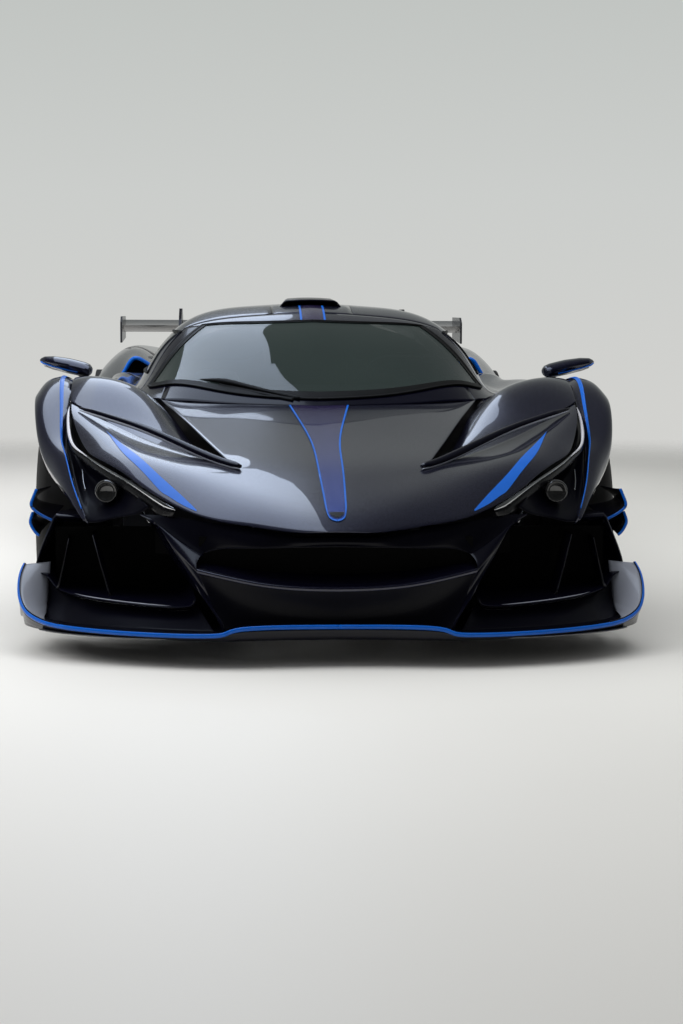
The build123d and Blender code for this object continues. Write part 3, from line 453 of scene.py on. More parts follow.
# front fenders: a net of (x, s, z) from the lower edge to the crest, and a band from the crest down inside
fenderSet = {"columns": 120, "bandDepth": (-.004, .01, -.03), "blueWidth": [0, .16, .34, .28, .06], "edge": .0022}
n = fenderSet["columns"]
outer = bicubic([
    [(.78, .4, .402), (.832, .55, .448), (.885, .7, .492), (.95, .82, .597), (.982, 1.0, .722), (.99, 1.2, .738),
     (.989, 1.4, .64), (.988, 1.5, .496), (.986, 1.53, .36)],
    [(.784, .4, .404), (.846, .55, .462), (.905, .7, .512), (.958, .82, .612), (.987, 1.0, .73), (.996, 1.2, .752),
     (.996, 1.4, .68), (.994, 1.5, .57), (.992, 1.545, .45)],
    [(.787, .4, .407), (.853, .55, .48), (.915, .7, .545), (.957, .82, .632), (.981, 1.0, .742), (.99, 1.2, .772),
     (.992, 1.4, .738), (.99, 1.5, .68), (.988, 1.556, .6)],
    [(.784, .4, .409), (.845, .55, .496), (.898, .7, .58), (.932, .82, .648), (.952, 1.0, .75), (.962, 1.2, .808),
     (.962, 1.4, .796), (.958, 1.5, .782), (.95, 1.56, .765)],
    [(.777, .4, .41), (.828, .55, .508), (.862, .7, .59), (.885, .82, .64), (.9, 1.0, .738), (.9125, 1.2, .82),
     (.903, 1.4, .815), (.893, 1.5, .801), (.885, 1.56, .786)],
], 40, n)
crest = outer[-1]
innerLine = through(spaced([(.768, .405, .398), (.816, .55, .492), (.85, .7, .574), (.866, .82, .626), (.872, 1.0, .726),
    (.873, 1.2, .806), (.868, 1.4, .804), (.858, 1.5, .792), (.85, 1.56, .78)]), n)
deep = np.interp(np.arange(n), [0, 8, 26, 38, 64, 78, 119], [.02, .02, .5, .05, .05, 1, 1])[:, None] * fenderSet["bandDepth"]
band = [crest, blend(crest, innerLine, .25) + (0, 0, -.002), blend(crest, innerLine, .6) + (0, 0, -.004),
        innerLine + (0, 0, -.006), innerLine + deep * .5, innerLine + deep]
skin("fenderSkin", [outer], (1.0, -.3, .6), paint, hide=("front_fender_left", "front_fender_right"), **shell)
skin("bladeBand", [np.stack(band)], (-.5, -.3, 1.0), paint, **shell)
wide = np.interp(np.arange(n), [0, 20, 60, 95, 119], fenderSet["blueWidth"])[:, None]
blueBand = np.stack([crest, blend(crest, innerLine, wide * .5), blend(crest, innerLine, wide)])[:, :112] + (0, -.0006, .0016)
skin("bladeBlue", [blueBand], (-.5, -.3, 1.0), blue, **flatSkin)
bars("bladeEdge", [(crest[4:95], fenderSet["edge"])], blue)
print("bonnet and front fenders done")

# nose: lines of (x, s, z) on the left, from the middle outwards, joined by ruled sheets
noseSet = {"panel": .006, "lip": .004, "duct": .003, "chinHollow": .012, "browSwell": -.008}
ridge = line([(.64, .36, .452), (.6, .325, .43), (.546, .28, .3975), (.453, .17, .266), (.361, .075, .15),
    (.34, .06, .112)], 40)
noseTop = line([(0, .138, .378), (.075, .14, .377), (.15, .153, .38), (.274, .19, .402), (.407, .24, .418),
    (.52, .3, .428), (.6, .325, .43)], 40)
lipLine = line([(0, .085, .227), (.1, .086, .229), (.2186, .092, .2387), (.33, .108, .258), (.4258, .138, .277)], 40)
foot = line([(0, .105, .1), (.1, .102, .1), (.2186, .098, .1), (.3, .085, .1), (.34, .06, .1)], 40)
mouthTop = line([(0, .135, .352), (.12, .137, .35), (.25, .152, .346), (.35, .19, .34), (.405, .205, .325)], 40)
chin = between(lipLine, foot, 14, (0, noseSet["chinHollow"], 0))
cheekTop = through([mouthTop[-1], (mouthTop[-1] + lipLine[-1]) / 2 + (.01, -.004, 0), lipLine[-1]], 16)
brow = between(noseTop, even(np.concatenate([mouthTop, cheekTop[1:3]]), 40), 10, (0, noseSet["browSwell"], 0))
skin("nosePanel", [chin, brow], forward, deepBlack, hide=("front_bumper",), **trim, thick=noseSet["panel"])
backing = [line([(.26, .25, .3), (.4, .3, .3), (.56, .4, .3)], 20), line([(.26, .25, .4), (.4, .3, .405), (.56, .4, .41)], 20)]
skin("noseBacking", [between(*backing, 4)], forward, meshBlack, **trim, **flatSkin)
cheek = coons(np.linspace(noseTop[-1], mouthTop[-1], 14), np.linspace(ridge[-1], foot[-1], 14), even(ridge[4:], 30),
    even(np.concatenate([cheekTop, chin[:, -1]]), 30))
skin("cheekPanel", [cheek], forward, gloss, **trim, thick=noseSet["panel"])
lipRoll = [lipLine + offset for offset in ((0, .03, .004), (0, .008, .006), (0, -.003, .002), (0, -.001, -.008))]
skin("mouthLip", [through(lipRoll, 12)], (0, -.6, 1.0), paint, **trim, thick=noseSet["lip"])
mouthDuct = [between(lipRoll[0], lipLine + (0, .13, .03), 4), between(mouthTop, mouthTop + (0, .1, -.01), 4)]
skin("mouthDuct", mouthDuct, upward, gloss, **trim, thick=noseSet["duct"])

# side intakes: an outer frame rolled inwards, a plinth below, an inner wall and two upright vanes
intakeSet = {"centre": (.68, .52, .29), "wall": .004, "crest": .0034, "vaneRim": [.0012, .0018, .0028, .006]}
frameLine = line([(.793, .5, .403), (.866, .5, .406), (.888, .5, .381), (.935, .5, .255), (.905, .46, .222),
    (.872, .42, .193), (.815, .36, .176), (.702, .27, .167), (.487, .185, .159), (.4327, .17, .1845)], 90)
toCentre = np.array(intakeSet["centre"]) - frameLine
frameIn = frameLine + toCentre * .1 + (0, .04, .004)
frameDeep = frameLine + toCentre * (.16, .1, .1) + (0, .15, .03)
roll = [frameLine + (0, .014, -.012), frameLine + (0, -.004, -.003), frameLine + (0, -.003, .006),
        frameIn * .5 + frameLine * .5 + (0, .006, .004), frameIn, frameDeep]
skin("intakeFrame", [through(roll, 26)], (0, -1.0, .5), gloss, **trim, thick=intakeSet["wall"])
# a thin light grey satin bar along the crest of the lower lip: a painted highlight where the lip catches the light
thin, full = .001, intakeSet["crest"]
bars("intakeCrestHighlight", [(frameLine[42:84] + (0, -.005, .004), along(42, [0, .3, .8, 1], [thin, full, full, thin]))], satin)
plinth = line([(.957, .53, .102), (.935, .44, .102), (.9, .37, .102), (.84, .28, .102), (.72, .19, .102), (.56, .125, .102),
    (.42, .085, .102), (.372, .072, .102)], 60)
plinthSheet = between(even(frameLine[30:], 60) + (0, .014, -.012), plinth, 12, (0, .006, 0))
skin("intakePlinth", [plinthSheet], forward, deepBlack, **trim, thick=intakeSet["wall"])
innerWall = even(ridge[10:32], 30)
skin("intakeWall", [between(innerWall, innerWall + (.05, .17, .02), 8)], (1.0, -.3, 0), gloss, **trim,
     thick=intakeSet["wall"])


def fin(name, top, bottom, chord, thick):  # an upright vane: a closed blade t sin w (.4 + .6 sin w/2) running back, wider below
    v = np.linspace(0, 1, 14)[:, None]
    edge = spaced(top) * (1 - v) + spaced(bottom) * v
    w = np.linspace(0, 2 * np.pi, 17)
    ring = np.stack([thick * np.sin(w) * (.4 + .6 * np.sin(w / 2)), chord * (.5 - .5 * np.cos(w)), 0 * w], 1)
    grow = 1 + 1.4 * np.clip(v[:, 0] * 5 - 4, 0, 1) ** 2
    skin(name, [edge[:, None] + ring[None] * grow[:, None, None]], (0, 0, 0), gloss, **trim, **flatSkin)


fin("outerVane", (.831, .42, .345), (.862, .4, .188), .12, .006)
fin("innerVane", (.754, .38, .36), (.698, .33, .172), .14, .007)
# lighter metal bars along the front edge of each vane: a painted highlight, the faint line of light on the edges
vaneLines = ([(.831, .416, .345), (.846, .406, .27), (.86, .396, .205), (.865, .392, .19)],
    [(.754, .376, .36), (.728, .352, .27), (.703, .329, .192), (.697, .324, .176)])
bars("vaneEdgeHighlights", [(spaced(p), intakeSet["vaneRim"]) for p in vaneLines], alloy, **trim)

# splitter: one section carried along its front edge, rising in the middle and up the end fences
splitSet = {"wall": .004, "edge": .0068, "fenceWall": .005, "fenceFrom": 96, "count": 140}
edgeLine = line([(0, .03, .127), (.12, .024, .1275), (.22, .012, .1275), (.3, .004, .123), (.335, .001, .113),
    (.37, .001, .106), (.46, .014, .104), (.563, .04, .104), (.7, .088, .106), (.842, .17, .11),
    (.915, .24, .12), (.958, .3, .14), (.982, .36, .18), (.985, .42, .23), (.975, .47, .262)], splitSet["count"])
x, y, z = edgeLine.T
t = np.clip((np.arange(splitSet["count"]) - splitSet["fenceFrom"]) / 43, 0, 1)  # 0 along the front, to 1 at a fence's tip
plateZ = np.interp(x, [0, .3, .36, 1], [.118, .116, .102, .102])
backEdge = np.stack([x * .93, np.minimum(y + .22 + .1 * t, noseY + .62), plateZ], 1)
foldLine = np.stack([x - .012 - .045 * t, y + .02, np.minimum(z - .003, .103 + .02 * (x < .33))], 1)
floorEdge = np.stack([x * .985, y + .02, 0 * t + .08], 1)
splitSkin = {**splitSlot, "bevel": 0}
skin("splitterTop", [through([edgeLine + (0, .001, 0), foldLine, backEdge], 3)], (0, -.2, 1.0), deepBlack,
     hide=("front_splitter",), thick=splitSet["wall"], **splitSkin)
skin("splitterFace", [between(edgeLine + (0, .004, -.012), floorEdge, 4)], forward, gloss, thick=splitSet["wall"], **splitSkin)
bars("splitterEdge", [(edgeLine + (0, .002, -.006), splitSet["edge"], (.7, 1))], blue)
lowPlate = line([(.35, .03, .083), (.563, .062, .083), (.72, .115, .083), (.842, .185, .083), (.905, .25, .083)], 50)
bars("skidPlate", [(lowPlate, .005, (1.6, .5))], steel)
fenceOut = edgeLine[splitSet["fenceFrom"]:]
footPlaces = spaced([(.925, .27, .1), (.985, .43, .1), (.988, .64, .1)])
fenceFoot = np.stack([along(44, [0, .5, 1], column) for column in footPlaces.T], 1)
skin("splitterFence", [between(fenceOut, fenceFoot, 8, (.004, 0, 0))], (1.0, -.5, .1), gloss,
    thick=splitSet["fenceWall"], **splitSkin)
fenceIn = np.stack([along(44, [0, .4, 1], [.905, .898, .895]), along(44, [0, .4, 1], [.25, .44, .5]) + noseY,
    along(44, [0, .3, 1], [.105, .115, .262])], 1)
# the inner face of each fence in light grey satin: a painted reflection of the pale floor and wall
skin("fenceFace", [between(fenceOut + (-.003, -.001, -.004), fenceIn, 10, (0, -.004, 0))], (-.6, -1.0, .5), satin,
     thick=.003, **splitSkin)

# canards: L-shaped winglets with a blue rim, each from its top, corner and root
canardSet = {"wall": .005, "rim": .0042,
    "upperCanard": [(.945, .58, .486), (.96, .56, .428), (.893, .56, .387)],
    "lowerCanard": [(.957, .58, .412), (.962, .56, .371), (.935, .55, .3387)]}
for name in ("upperCanard", "lowerCanard"):
    top, corner, root = np.array(canardSet[name])
    rim = line([top, top * .42 + corner * .58 + (.004, 0, 0), corner * .94 + (top + root) * .03,
        corner * .52 + root * .48 + (0, 0, -.004), root], 30)
    tail = line([(top[0] - .03, .78, top[2] - .01), (corner[0], .78, corner[2] + .01), (root[0] - .02, .76, root[2] + .03)], 30)
    winglet = through([rim, rim * .5 + tail * .5 + (.008, 0, -.004), tail], 12)
    skin(name, [winglet], (-1.0, 0, 1.0), gloss, hide=("canards",), **splitSlot, thick=canardSet["wall"])
    bars(name + "Rim", [(rim, canardSet["rim"])], blue)
print("nose, intakes, splitter and canards done")

# headlamps: a hollowed bowl, a bright strip under the fender's edge, a tube of light, a fin and a lens
lampSet = {"hollow": (-.01, .05, -.015), "strip": [.004, .007, .008, .011, .016, .01], "lens": (.715, .455, .49)}
lampTop = line([(.856, 1.02, .738), (.85, .86, .655), (.796, .655, .578), (.741, .555, .546), (.64, .425, .498),
    (.6, .36, .47), (.575, .33, .452)], 60)
lampOut = line([(.872, 1.02, .724), (.868, .86, .628), (.842, .7, .56), (.815, .55, .478), (.79, .44, .418),
    (.776, .41, .396)], 60)
lampLow = line([(.776, .41, .396), (.73, .385, .402), (.68, .375, .415), (.62, .345, .428), (.575, .33, .452)], 30)
lampFoot = lampLow[::-1][np.linspace(0, 29, 24).astype(int)]
hollow = (np.sin(np.pi * np.linspace(0, 1, 60))[:, None] * np.sin(np.pi * np.linspace(0, 1, 24))[None]) ** .7
toTip = np.clip(np.linspace(-.5, 2.0, 60), .02, 1)[:, None, None]
bowl = coons(np.linspace(lampTop[0], lampOut[0], 24), lampFoot, lampTop, lampOut)
bowl = bowl + hollow[..., None] * toTip * lampSet["hollow"]
skin("lampBowl", [bowl], forward, deepBlack, hide=("headlamps",), **lampSlot, thick=.003, bevel=0)
stripTop = line([(.868, 1.03, .742), (.864, .9, .694), (.842, .74, .632), (.803, .655, .602), (.748, .556, .575),
    (.648, .43, .53), (.557, .335, .485), (.492, .28, .454)], 80)
w = along(80, [0, .15, .5, .8, .95, 1], lampSet["strip"])[:, None]
stripLow = stripTop + w * (.35, -.2, -1.0)
stripSheet = through([stripTop, (stripTop + stripLow) / 2 + (0, -.005, 0), stripLow], 8)
skin("lampStrip", [stripSheet], forward, chrome, **lampSlot, thick=.003, bevel=0)
shade = between(stripLow, stripLow + w * (.9, .6, -1.9), 4)
skin("lampShade", [shade], forward, lampBlack, **lampSlot, thick=.002, bevel=0)
lampTube = (stripTop[2:40] + (.002, -.007, -.003), along(38, [0, .15, .5, .8, 1], [.001, .005, .0062, .004, .001]))
bars("lampTube", [lampTube], lampWhite, **lampSlot)
bars("lampFin", [(line([(.675, .5, .5), (.64, .44, .478), (.6, .36, .44), (.572, .315, .405)], 30), .0035, (1.4, .8))], chrome)
bars("lampGuide", [(line([(.8, .62, .545), (.795, .57, .515), (.785, .52, .488)], 14), .0028)], chrome)
lensX, lensBack, lensZ = lampSet["lens"]
a = np.linspace(0, 2 * np.pi, 41)
lensRings = [(.002, .004), (.016, .002), (.026, -.004), (.03, -.012), (.034, -.01), (.037, .004), (.036, .03)]  # radius, depth
lens = [np.stack([lensX + r * np.cos(a), noseY + lensBack + d + 0 * a, lensZ + r * np.sin(a)], 1) for r, d in lensRings]
skin("lampLens", [np.stack(lens)], forward, lensGlass, **lampSlot, **flatSkin)
print("headlamps done")

# bonnet trim: a blade across each vent, blue wedges, the stripe with its edges and a plain badge plate
trimSet = {"blade": .013, "sheenBarSize": .007, "lift": .0012, "stripeLift": .0022, "edgeLift": .0028, "badgeLift": .0034}
blade = line([(ventA[0] - .012, ventA[1] - .004, .556), (.4, .632, .585), (.57, .764, .65), (.715, .866, .694),
    (.832, .945, .724)], 60)
bladeSize = along(60, [0, .03, .2, .9, 1], [.006, .011, trimSet["blade"], .01, .003])
sheenBarSize = along(60, [0, .04, .2, .9, 1], [.001, .005, trimSet["sheenBarSize"], .006, .001])
bars("ventBlade", [(blade + (0, -.004, .006), bladeSize, (1.5, 1))], gloss)
# a light grey satin bar just in front of each blade: a painted highlight standing for the softbox's reflection along
# the blade
bars("ventSheenBar", [(blade + (0, -.014, -.002), sheenBarSize, (1.4, 1))], satin)


def nearest(sheet, x, y):  # height of a sheet of points over each plan place: a plane fitted to its eight closest points
    out = []
    q = np.stack([x.ravel(), y.ravel()], 1)
    for part in np.array_split(q, max(1, len(q) // 250)):
        far = ((part[:, None] - sheet[None, :, :2]) ** 2).sum(-1)
        i = np.argpartition(far, 8, axis=1)[:, :8]
        w = 1 / (np.take_along_axis(far, i, 1) + 1e-7)
        p = sheet[i]
        a = np.stack([np.ones_like(w), p[..., 0] - part[:, :1], p[..., 1] - part[:, 1:]], -1)
        m = np.einsum("mki,mk,mkj->mij", a, w, a) + 1e-9 * np.eye(3)
        r = np.einsum("mki,mk,mk->mi", a, w, p[..., 2])
        out.append(np.linalg.solve(m, r[..., None])[:, 0, 0])
    return np.concatenate(out).reshape(x.shape)


def ribbon(name, p, mat, lift):  # a strip of another colour lying on the bonnet over a sheet of plan places
    y = p[..., 1] + noseY
    z = nearest(bonnetPoints, p[..., 0], y)
    skin(name, [np.stack([p[..., 0], y, z + lift], -1)], upward, mat, **flatSkin)


def planSheet(a, b, count, rows=10):
    return between(plan(a, count), plan(b, count), rows, (0, 0))


bonnetPoints = np.concatenate([g.reshape(-1, 3) for g in bonnetTops])
wedgeUpper = [(.733, .781), (.644, .596), (.569, .442), (.493, .335), (.428, .248)]
wedgeLower = [(.733, .781), (.69, .635), (.64, .504), (.555, .358), (.521, .319), (.48, .281), (.428, .242)]
ribbon("browWedge", planSheet(wedgeUpper, wedgeLower, 60), blue, trimSet["lift"])
stripeSide = [(.103, 1.472), (.07, 1.2), (.05, 1.0), (.04, .8), (.036, .55), (.031, .35), (.0285, .26),
    (.026, .205), (.018, .178), (0, .168)]
ribbon("noseStripe", planSheet([(0, 1.472), (0, 1.0), (0, .5), (0, .168)], stripeSide, 90), stripeBlue, trimSet["stripeLift"])
rim = plan(stripeSide, 90)
rimWide = np.interp(rim[:, 1], [.17, .25, .5, 1.0, 1.47], [.001, .0055, .0055, .006, .007])
rimOut = rim + np.stack([rimWide, np.interp(rim[:, 1], [.17, .25], [-.008, 0])], 1)
ribbon("stripeEdge", rim[None] + np.linspace(0, 1, 4)[:, None, None] * (rimOut - rim)[None], blue, trimSet["edgeLift"])
badge = planSheet([(0, .212), (0, .2), (0, .178)], [(.021, .212), (.02, .196), (.006, .178)], 20)
ribbon("bareBadge", badge, lampBlack, trimSet["badgeLift"])
print("bonnet trim done")


# cabin and doors: sections across the car in a table, cut along lines of one x or one z
def section(rows, s):  # cross-sections at distances behind the nose, read between the rows of a table
    stations = rows[:, 0, 1] - noseY
    j = np.clip(np.interp(s, stations, np.arange(len(stations))), 0, len(stations) - 1.001)
    low = j.astype(int)
    f = (j - low)[:, None, None]
    return rows[low] * (1 - f) + rows[low + 1] * f


# place along each section, between two columns, where its x (axis 0) or z (axis 2) passes a value
def crossing(sec, axis, value, low, high):
    part = sec[:, low:high + 1, axis]
    value = np.broadcast_to(np.asarray(value, float), (len(sec),))
    past = (part - value[:, None]) * np.sign(part[:, -1] - part[:, 0])[:, None] > 0
    i = np.clip(np.where(past.any(1), past.argmax(1), part.shape[1] - 1), 1, None)
    r = np.arange(len(sec))
    a, b = part[r, i - 1], part[r, i]
    return low + i - 1 + np.clip((value - a) / np.where(a == b, 1, b - a), 0, 1)


def strip(sec, first, last, count):  # the part of each section between two places along it, in count even steps
    v = first[:, None] + (last - first)[:, None] * np.linspace(0, 1, count)
    low = np.clip(v.astype(int), 0, sec.shape[1] - 2)
    f = (v - low)[..., None]
    r = np.arange(len(sec))[:, None]
    return sec[r, low] * (1 - f) + sec[r, low + 1] * f


def table(rows, perColumn):
    return bicubic([[(x, s, z) for x, z in row] for s, *row in rows], 261, (len(rows[0]) - 2) * perColumn + 1)


def outOf(g):  # away from the middle of the car, and up
    return np.sign(g[..., 0].mean()), 0, .8


cabinTable = table([
    (1.48, (0, .712), (.18, .716), (.35, .722), (.5, .731), (.64, .735), (.76, .762), (.88, .778), (.985, .5), (.95, .19)),
    (1.66, (0, .842), (.205, .838), (.4, .826), (.545, .8), (.66, .745), (.765, .772), (.87, .77), (.955, .49), (.93, .19)),
    (2.0, (0, 1.018), (.25, 1.003), (.482, .963), (.61, .868), (.69, .755), (.77, .768), (.84, .765), (.9, .48), (.9, .19)),
    (2.35, (0, 1.086), (.24, 1.073), (.465, 1.032), (.62, .895), (.7, .765), (.76, .765), (.815, .748), (.868, .47), (.885, .19)),
    (2.7, (0, 1.085), (.215, 1.065), (.425, 1.02), (.585, .905), (.665, .785), (.745, .778), (.815, .76), (.868, .48),
     (.885, .19)),
    (3.04, (0, 1.05), (.18, 1.036), (.36, .99), (.505, .895), (.58, .8), (.64, .775), (.7, .745), (.85, .5), (.88, .19)),
], 24)
cabinSet = {"glass": .005, "fritLift": .0042, "seal": .0055, "sill": .206, "panel": .005, "cowl": .004}
doorSet = {"skin": .006, "pane": .004, "seal": .005}


def onCabin(p, lift=0.0):  # plan places laid on the cabin's surface
    sec = section(cabinTable, p[..., 1].ravel())
    v = crossing(sec, 0, p[..., 0].ravel(), 0, 144)
    return strip(sec, v, v, 1)[:, 0].reshape(*p.shape[:2], 3) + (0, 0, lift)


def footOf(sec):
    return crossing(sec, 2, cabinSet["sill"], 168, 192)


def fromMiddle(sec, x):
    return crossing(sec, 0, x, 0, 48)


glassLow, glassHigh = [(0, 1.508), (.3, 1.53), (.56, 1.625), (.628, 1.75)], [(0, 2.0), (.2, 2.012), (.43, 2.06)]
glassSide = [(.628, 1.75), (.54, 1.9), (.43, 2.06)]
pillarFoot, roofCorner, cowlBack, cowlOut = (.698, 1.755), (.497, 2.098), (.575, 1.48), (.764, 1.564)
glassPlan = patch(glassLow, glassHigh, [glassLow[0], glassHigh[0]], glassSide, 44, 34)
skin("windscreenSkin", [onCabin(glassPlan, .001)], upward, glass, hide=("windscreen",), slotName="glass",
    thick=cabinSet["glass"], bevel=0)
border = [onCabin(g, cabinSet["fritLift"]) for g in (glassPlan[:3], glassPlan[-2:], glassPlan[:, -3:])]
skin("frit", border, upward, frit, **flatSkin)
sealLines = [onCabin(plan(outline, 70)[None], .002)[0] for outline in (glassLow, glassSide, glassHigh)]
bars("glassSeal", [(p, cabinSet["seal"], (1.5, .8)) for p in sealLines], frit, **trim, sides=8)
headerEnd, headerMid, cowlMid = [glassSide[-1], roofCorner], (0, 2.104), (0, 1.48)
header = patch(glassHigh, [headerMid, (.25, 2.101), roofCorner], [glassHigh[0], headerMid], headerEnd, 30, 8)
pillar = patch(glassSide, [pillarFoot, roofCorner], [glassSide[0], pillarFoot], headerEnd, 30, 8)
cowlFront = patch([cowlMid, cowlBack], glassLow[:3], [cowlMid, glassLow[0]], [cowlBack, glassLow[2]], 30, 8)
cowlSide = patch([cowlBack, (.602, 1.504), cowlOut], [glassLow[2], (.628, 1.75), pillarFoot], [cowlBack, glassLow[2]],
    [cowlOut, (.757, 1.694), pillarFoot], 20, 12)
spans = ((1.566, 1.698, 8), (2.104, 2.766, 30), (2.763, 3.032, 16))
ahead, spine, quarter = (section(cabinTable, np.linspace(*span)) for span in spans)
cabinGrids = [onCabin(header), strip(ahead, crossing(ahead, 0, np.linspace(.764, .757, 8), 96, 144), footOf(ahead), 50),
    strip(spine, np.zeros(30), fromMiddle(spine, .159), 8), strip(quarter, np.zeros(16), footOf(quarter), 90)]
skin("cabinSkin", cabinGrids, outOf, paint, hide=("cabin_frame",), **shell, thick=cabinSet["panel"], bevel=0)
skin("cowlCover", [onCabin(g) for g in (cowlFront, cowlSide, pillar)], upward, gloss, **shell, thick=cabinSet["cowl"], bevel=0)

# doors: from the roof spine over the shoulder to the sill, with a window in each
spans = ((1.704, 1.985, 15), (1.985, 2.11, 10), (2.11, 2.56, 20), (2.56, 2.64, 6), (2.64, 2.756, 7))
backs = np.concatenate([[spans[0][0]]] + [np.linspace(*span)[1:] for span in spans])
sec = section(cabinTable, backs)
roofRow, paneRow, paneEnd = 23, 14, 47  # rows where the roof side, the window and the panel behind it begin
cut = crossing(sec, 0, np.interp(backs, [1.7, 1.76, 2.11], [.76, .705, .5]), 0, 144)
winHigh = crossing(sec, 2, np.interp(backs, [1.985, 2.08, 2.56, 2.64], [.815, .975, .975, .9]), 0, 96)
winLow = crossing(sec, 2, np.interp(backs, [1.985, 2.64], [.815, .822]), 0, 96)
winHigh[:paneRow] = winLow[:paneRow] = cut[:paneRow] + (winLow[paneRow] - cut[paneRow])
doorGrids = [strip(sec, cut, winHigh, 14), strip(sec, winLow, footOf(sec), 44),
    strip(sec[paneEnd:], winHigh[paneEnd:], winLow[paneEnd:], 5),
    strip(sec[roofRow:], fromMiddle(sec[roofRow:], .161), cut[roofRow:], 16)]
pane = strip(sec[paneRow:paneEnd + 1], winHigh[paneRow:paneEnd + 1], winLow[paneRow:paneEnd + 1], 12)
seal = even(np.concatenate([pane[:, 0], pane[-1], pane[::-1, -1]]), 120)
for sideName, side in (("left", 1), ("right", -1)):
    door, end, turn = "door_" + sideName, sideName.title(), (side, 1, 1)
    skin("doorSkin" + end, [g * turn for g in doorGrids], outOf, paint, door, both=False, hide=(door,), **shell,
         thick=doorSet["skin"])
    skin("doorPane" + end, [(pane - (.003, 0, .002)) * turn], outOf, glass, door, both=False, hide=("door_glass_" + sideName,),
         slotName="side_glass", thick=doorSet["pane"], bevel=0)
    bars("doorSeal" + end, [(seal * turn, doorSet["seal"])], frit, door, both=False)

# roof scoop: a low trapezoid that sinks into the roof towards the back
scoopSet = {"front": 2.27, "length": .68, "height": [1.098, 1.107, 1.099, 1.058], "wall": .006}
scoopBacks = np.linspace(scoopSet["front"], 2.95, 30)
g = (scoopBacks - scoopSet["front"]) / scoopSet["length"]
roofZ = section(cabinTable, scoopBacks)[:, 0, 2]
high = np.interp(g, [0, .25, .7, 1], scoopSet["height"])
halfTop, halfFoot = .1 - .045 * g, .13 - .05 * g
scoopRows = ((halfFoot, roofZ - .014), (halfTop + .008, high * .7 + roofZ * .3), (halfTop - .002, high),
    (halfTop * .5, high + .003), (0 * halfTop, high + .004))
scoop = np.stack([np.stack([x, scoopBacks + noseY, z], 1) for x, z in scoopRows], 1)
skin("scoopSkin", [scoop], outOf, gloss, hide=("roof_scoop",), **trim, thick=scoopSet["wall"])
scoopDuct = between(scoop[0] + (-.008, .02, -.008), scoop[0] * (.5, 1, 1) + (0, .18, -.02), 6)
skin("scoopDuct", [scoopDuct], forward, frit, **trim, **flatSkin)
roofMid = np.linspace(2.003, 2.262, 20)
for name, low, high, mat, lift in (("roofStripe", 0, .042, stripeBlue, .0012), ("roofStripeEdge", .042, .05, blue, .0018)):
    flat = np.stack(np.broadcast_arrays(np.linspace(low, high, 4)[None], roofMid[:, None]), -1)
    skin(name, [onCabin(flat, lift)], upward, mat, **flatSkin)
wiperPath = line([(-.608, 1.7, .765), (-.5, 1.652, .786), (-.379, 1.6, .8), (-.22, 1.548, .77), (-.067, 1.505, .738)], 40)
wiperArm = (wiperPath, along(40, [0, .4, .5, .6, 1], [.004, .007, .013, .01, .006]), (1.3, 1))
wiperBase = (line([(-.36, 1.59, .784), (-.28, 1.562, .768), (-.18, 1.53, .748), (-.09, 1.508, .732)], 30), .011, (1.4, .8))
bars("wiperArm", [wiperArm, wiperBase], frit, both=False, hide=("wiper",))
dashLeft = line([(-.17, 1.8, .738), (-.08, 1.79, .752), (.02, 1.785, .757), (.12, 1.79, .752), (.21, 1.8, .738)], 30)
dashRight = line([(.34, 1.8, .738), (.4, 1.79, .75), (.46, 1.785, .754), (.53, 1.79, .748), (.585, 1.8, .738)], 30)
bars("dashTrim", [(dashLeft, .008, (2.0, 1)), (dashRight, .007, (2.0, 1))], blue, both=False)
print("cabin and doors done")

# seats: padded cushions, backs and bolsters over a carbon shell, with sewn channels across the cushion
seatSet = {"x": .385, "cushionHalf": .175, "backHalf": .165, "cushionFlat": .24, "shellHalf": .205, "shell": .012}
seatX = seatSet["x"]
cushionLine = line([(seatX, 2.155, .262), (seatX, 2.24, .282), (seatX, 2.38, .27), (seatX, 2.52, .266), (seatX, 2.64, .28)], 44)
cushionWide = seatSet["cushionHalf"] * along(44, [0, .03, .12, .5, .88, .97, 1], [.45, .72, .94, 1, .96, .78, .5])
backLine = np.linspace(*spaced([(seatX, 2.655, .305), (seatX, 2.862, .8)]), 50)
backWide = seatSet["backHalf"] * along(50, [0, .03, .1, .45, .7, .8, .93, .98, 1], [.5, .78, .95, 1, .82, .6, .62, .52, .3])
bolsters = []
for side in (-1, 1):
    low = [(.15, 2.19, .285), (.168, 2.32, .318), (.17, 2.5, .318), (.16, 2.63, .31)]
    tall = [(.16, 2.655, .36), (.172, 2.69, .47), (.16, 2.745, .6), (.118, 2.8, .7)]
    for rows, sizes, squash in ((low, [.012, .034, .04, .034, .012], (1, .9)), (tall, [.012, .034, .042, .03, .01], (1, 1))):
        path = line([(seatX + side * x, s, z) for x, s, z in rows], 40)
        bolsters.append((path, along(40, [0, .08, .5, .92, 1], sizes), squash))
cover = {"slotName": "seat_cover"}
cushion = (cushionLine, cushionWide, (1, seatSet["cushionFlat"]))
pads = [bars("seatCushions", [cushion], leather, hide=("seats",), sides=40, **cover),
        bars("seatBacks", [(backLine, backWide, (.22, 1))], leather, sides=40, **cover),
        bars("seatBolsters", bolsters, leather, sides=20, **cover)]
seams = []
for k in (10, 17, 24, 31):
    x = np.linspace(-.8, .8, 30) * cushionWide[k]
    rise = seatSet["cushionFlat"] * np.sqrt(cushionWide[k] ** 2 - x * x) + .0006
    seams.append((cushionLine[k] + np.stack([x, 0 * x, rise], 1), .0022))
bars("seatSeams", seams, stripeBlue, sides=6, **cover)
shellLine = line([(0, 2.145, .205), (0, 2.4, .19), (0, 2.62, .205), (0, 2.735, .33), (0, 2.83, .56), (0, 2.898, .84)], 60)
across = np.linspace(-seatSet["shellHalf"], seatSet["shellHalf"], 25)
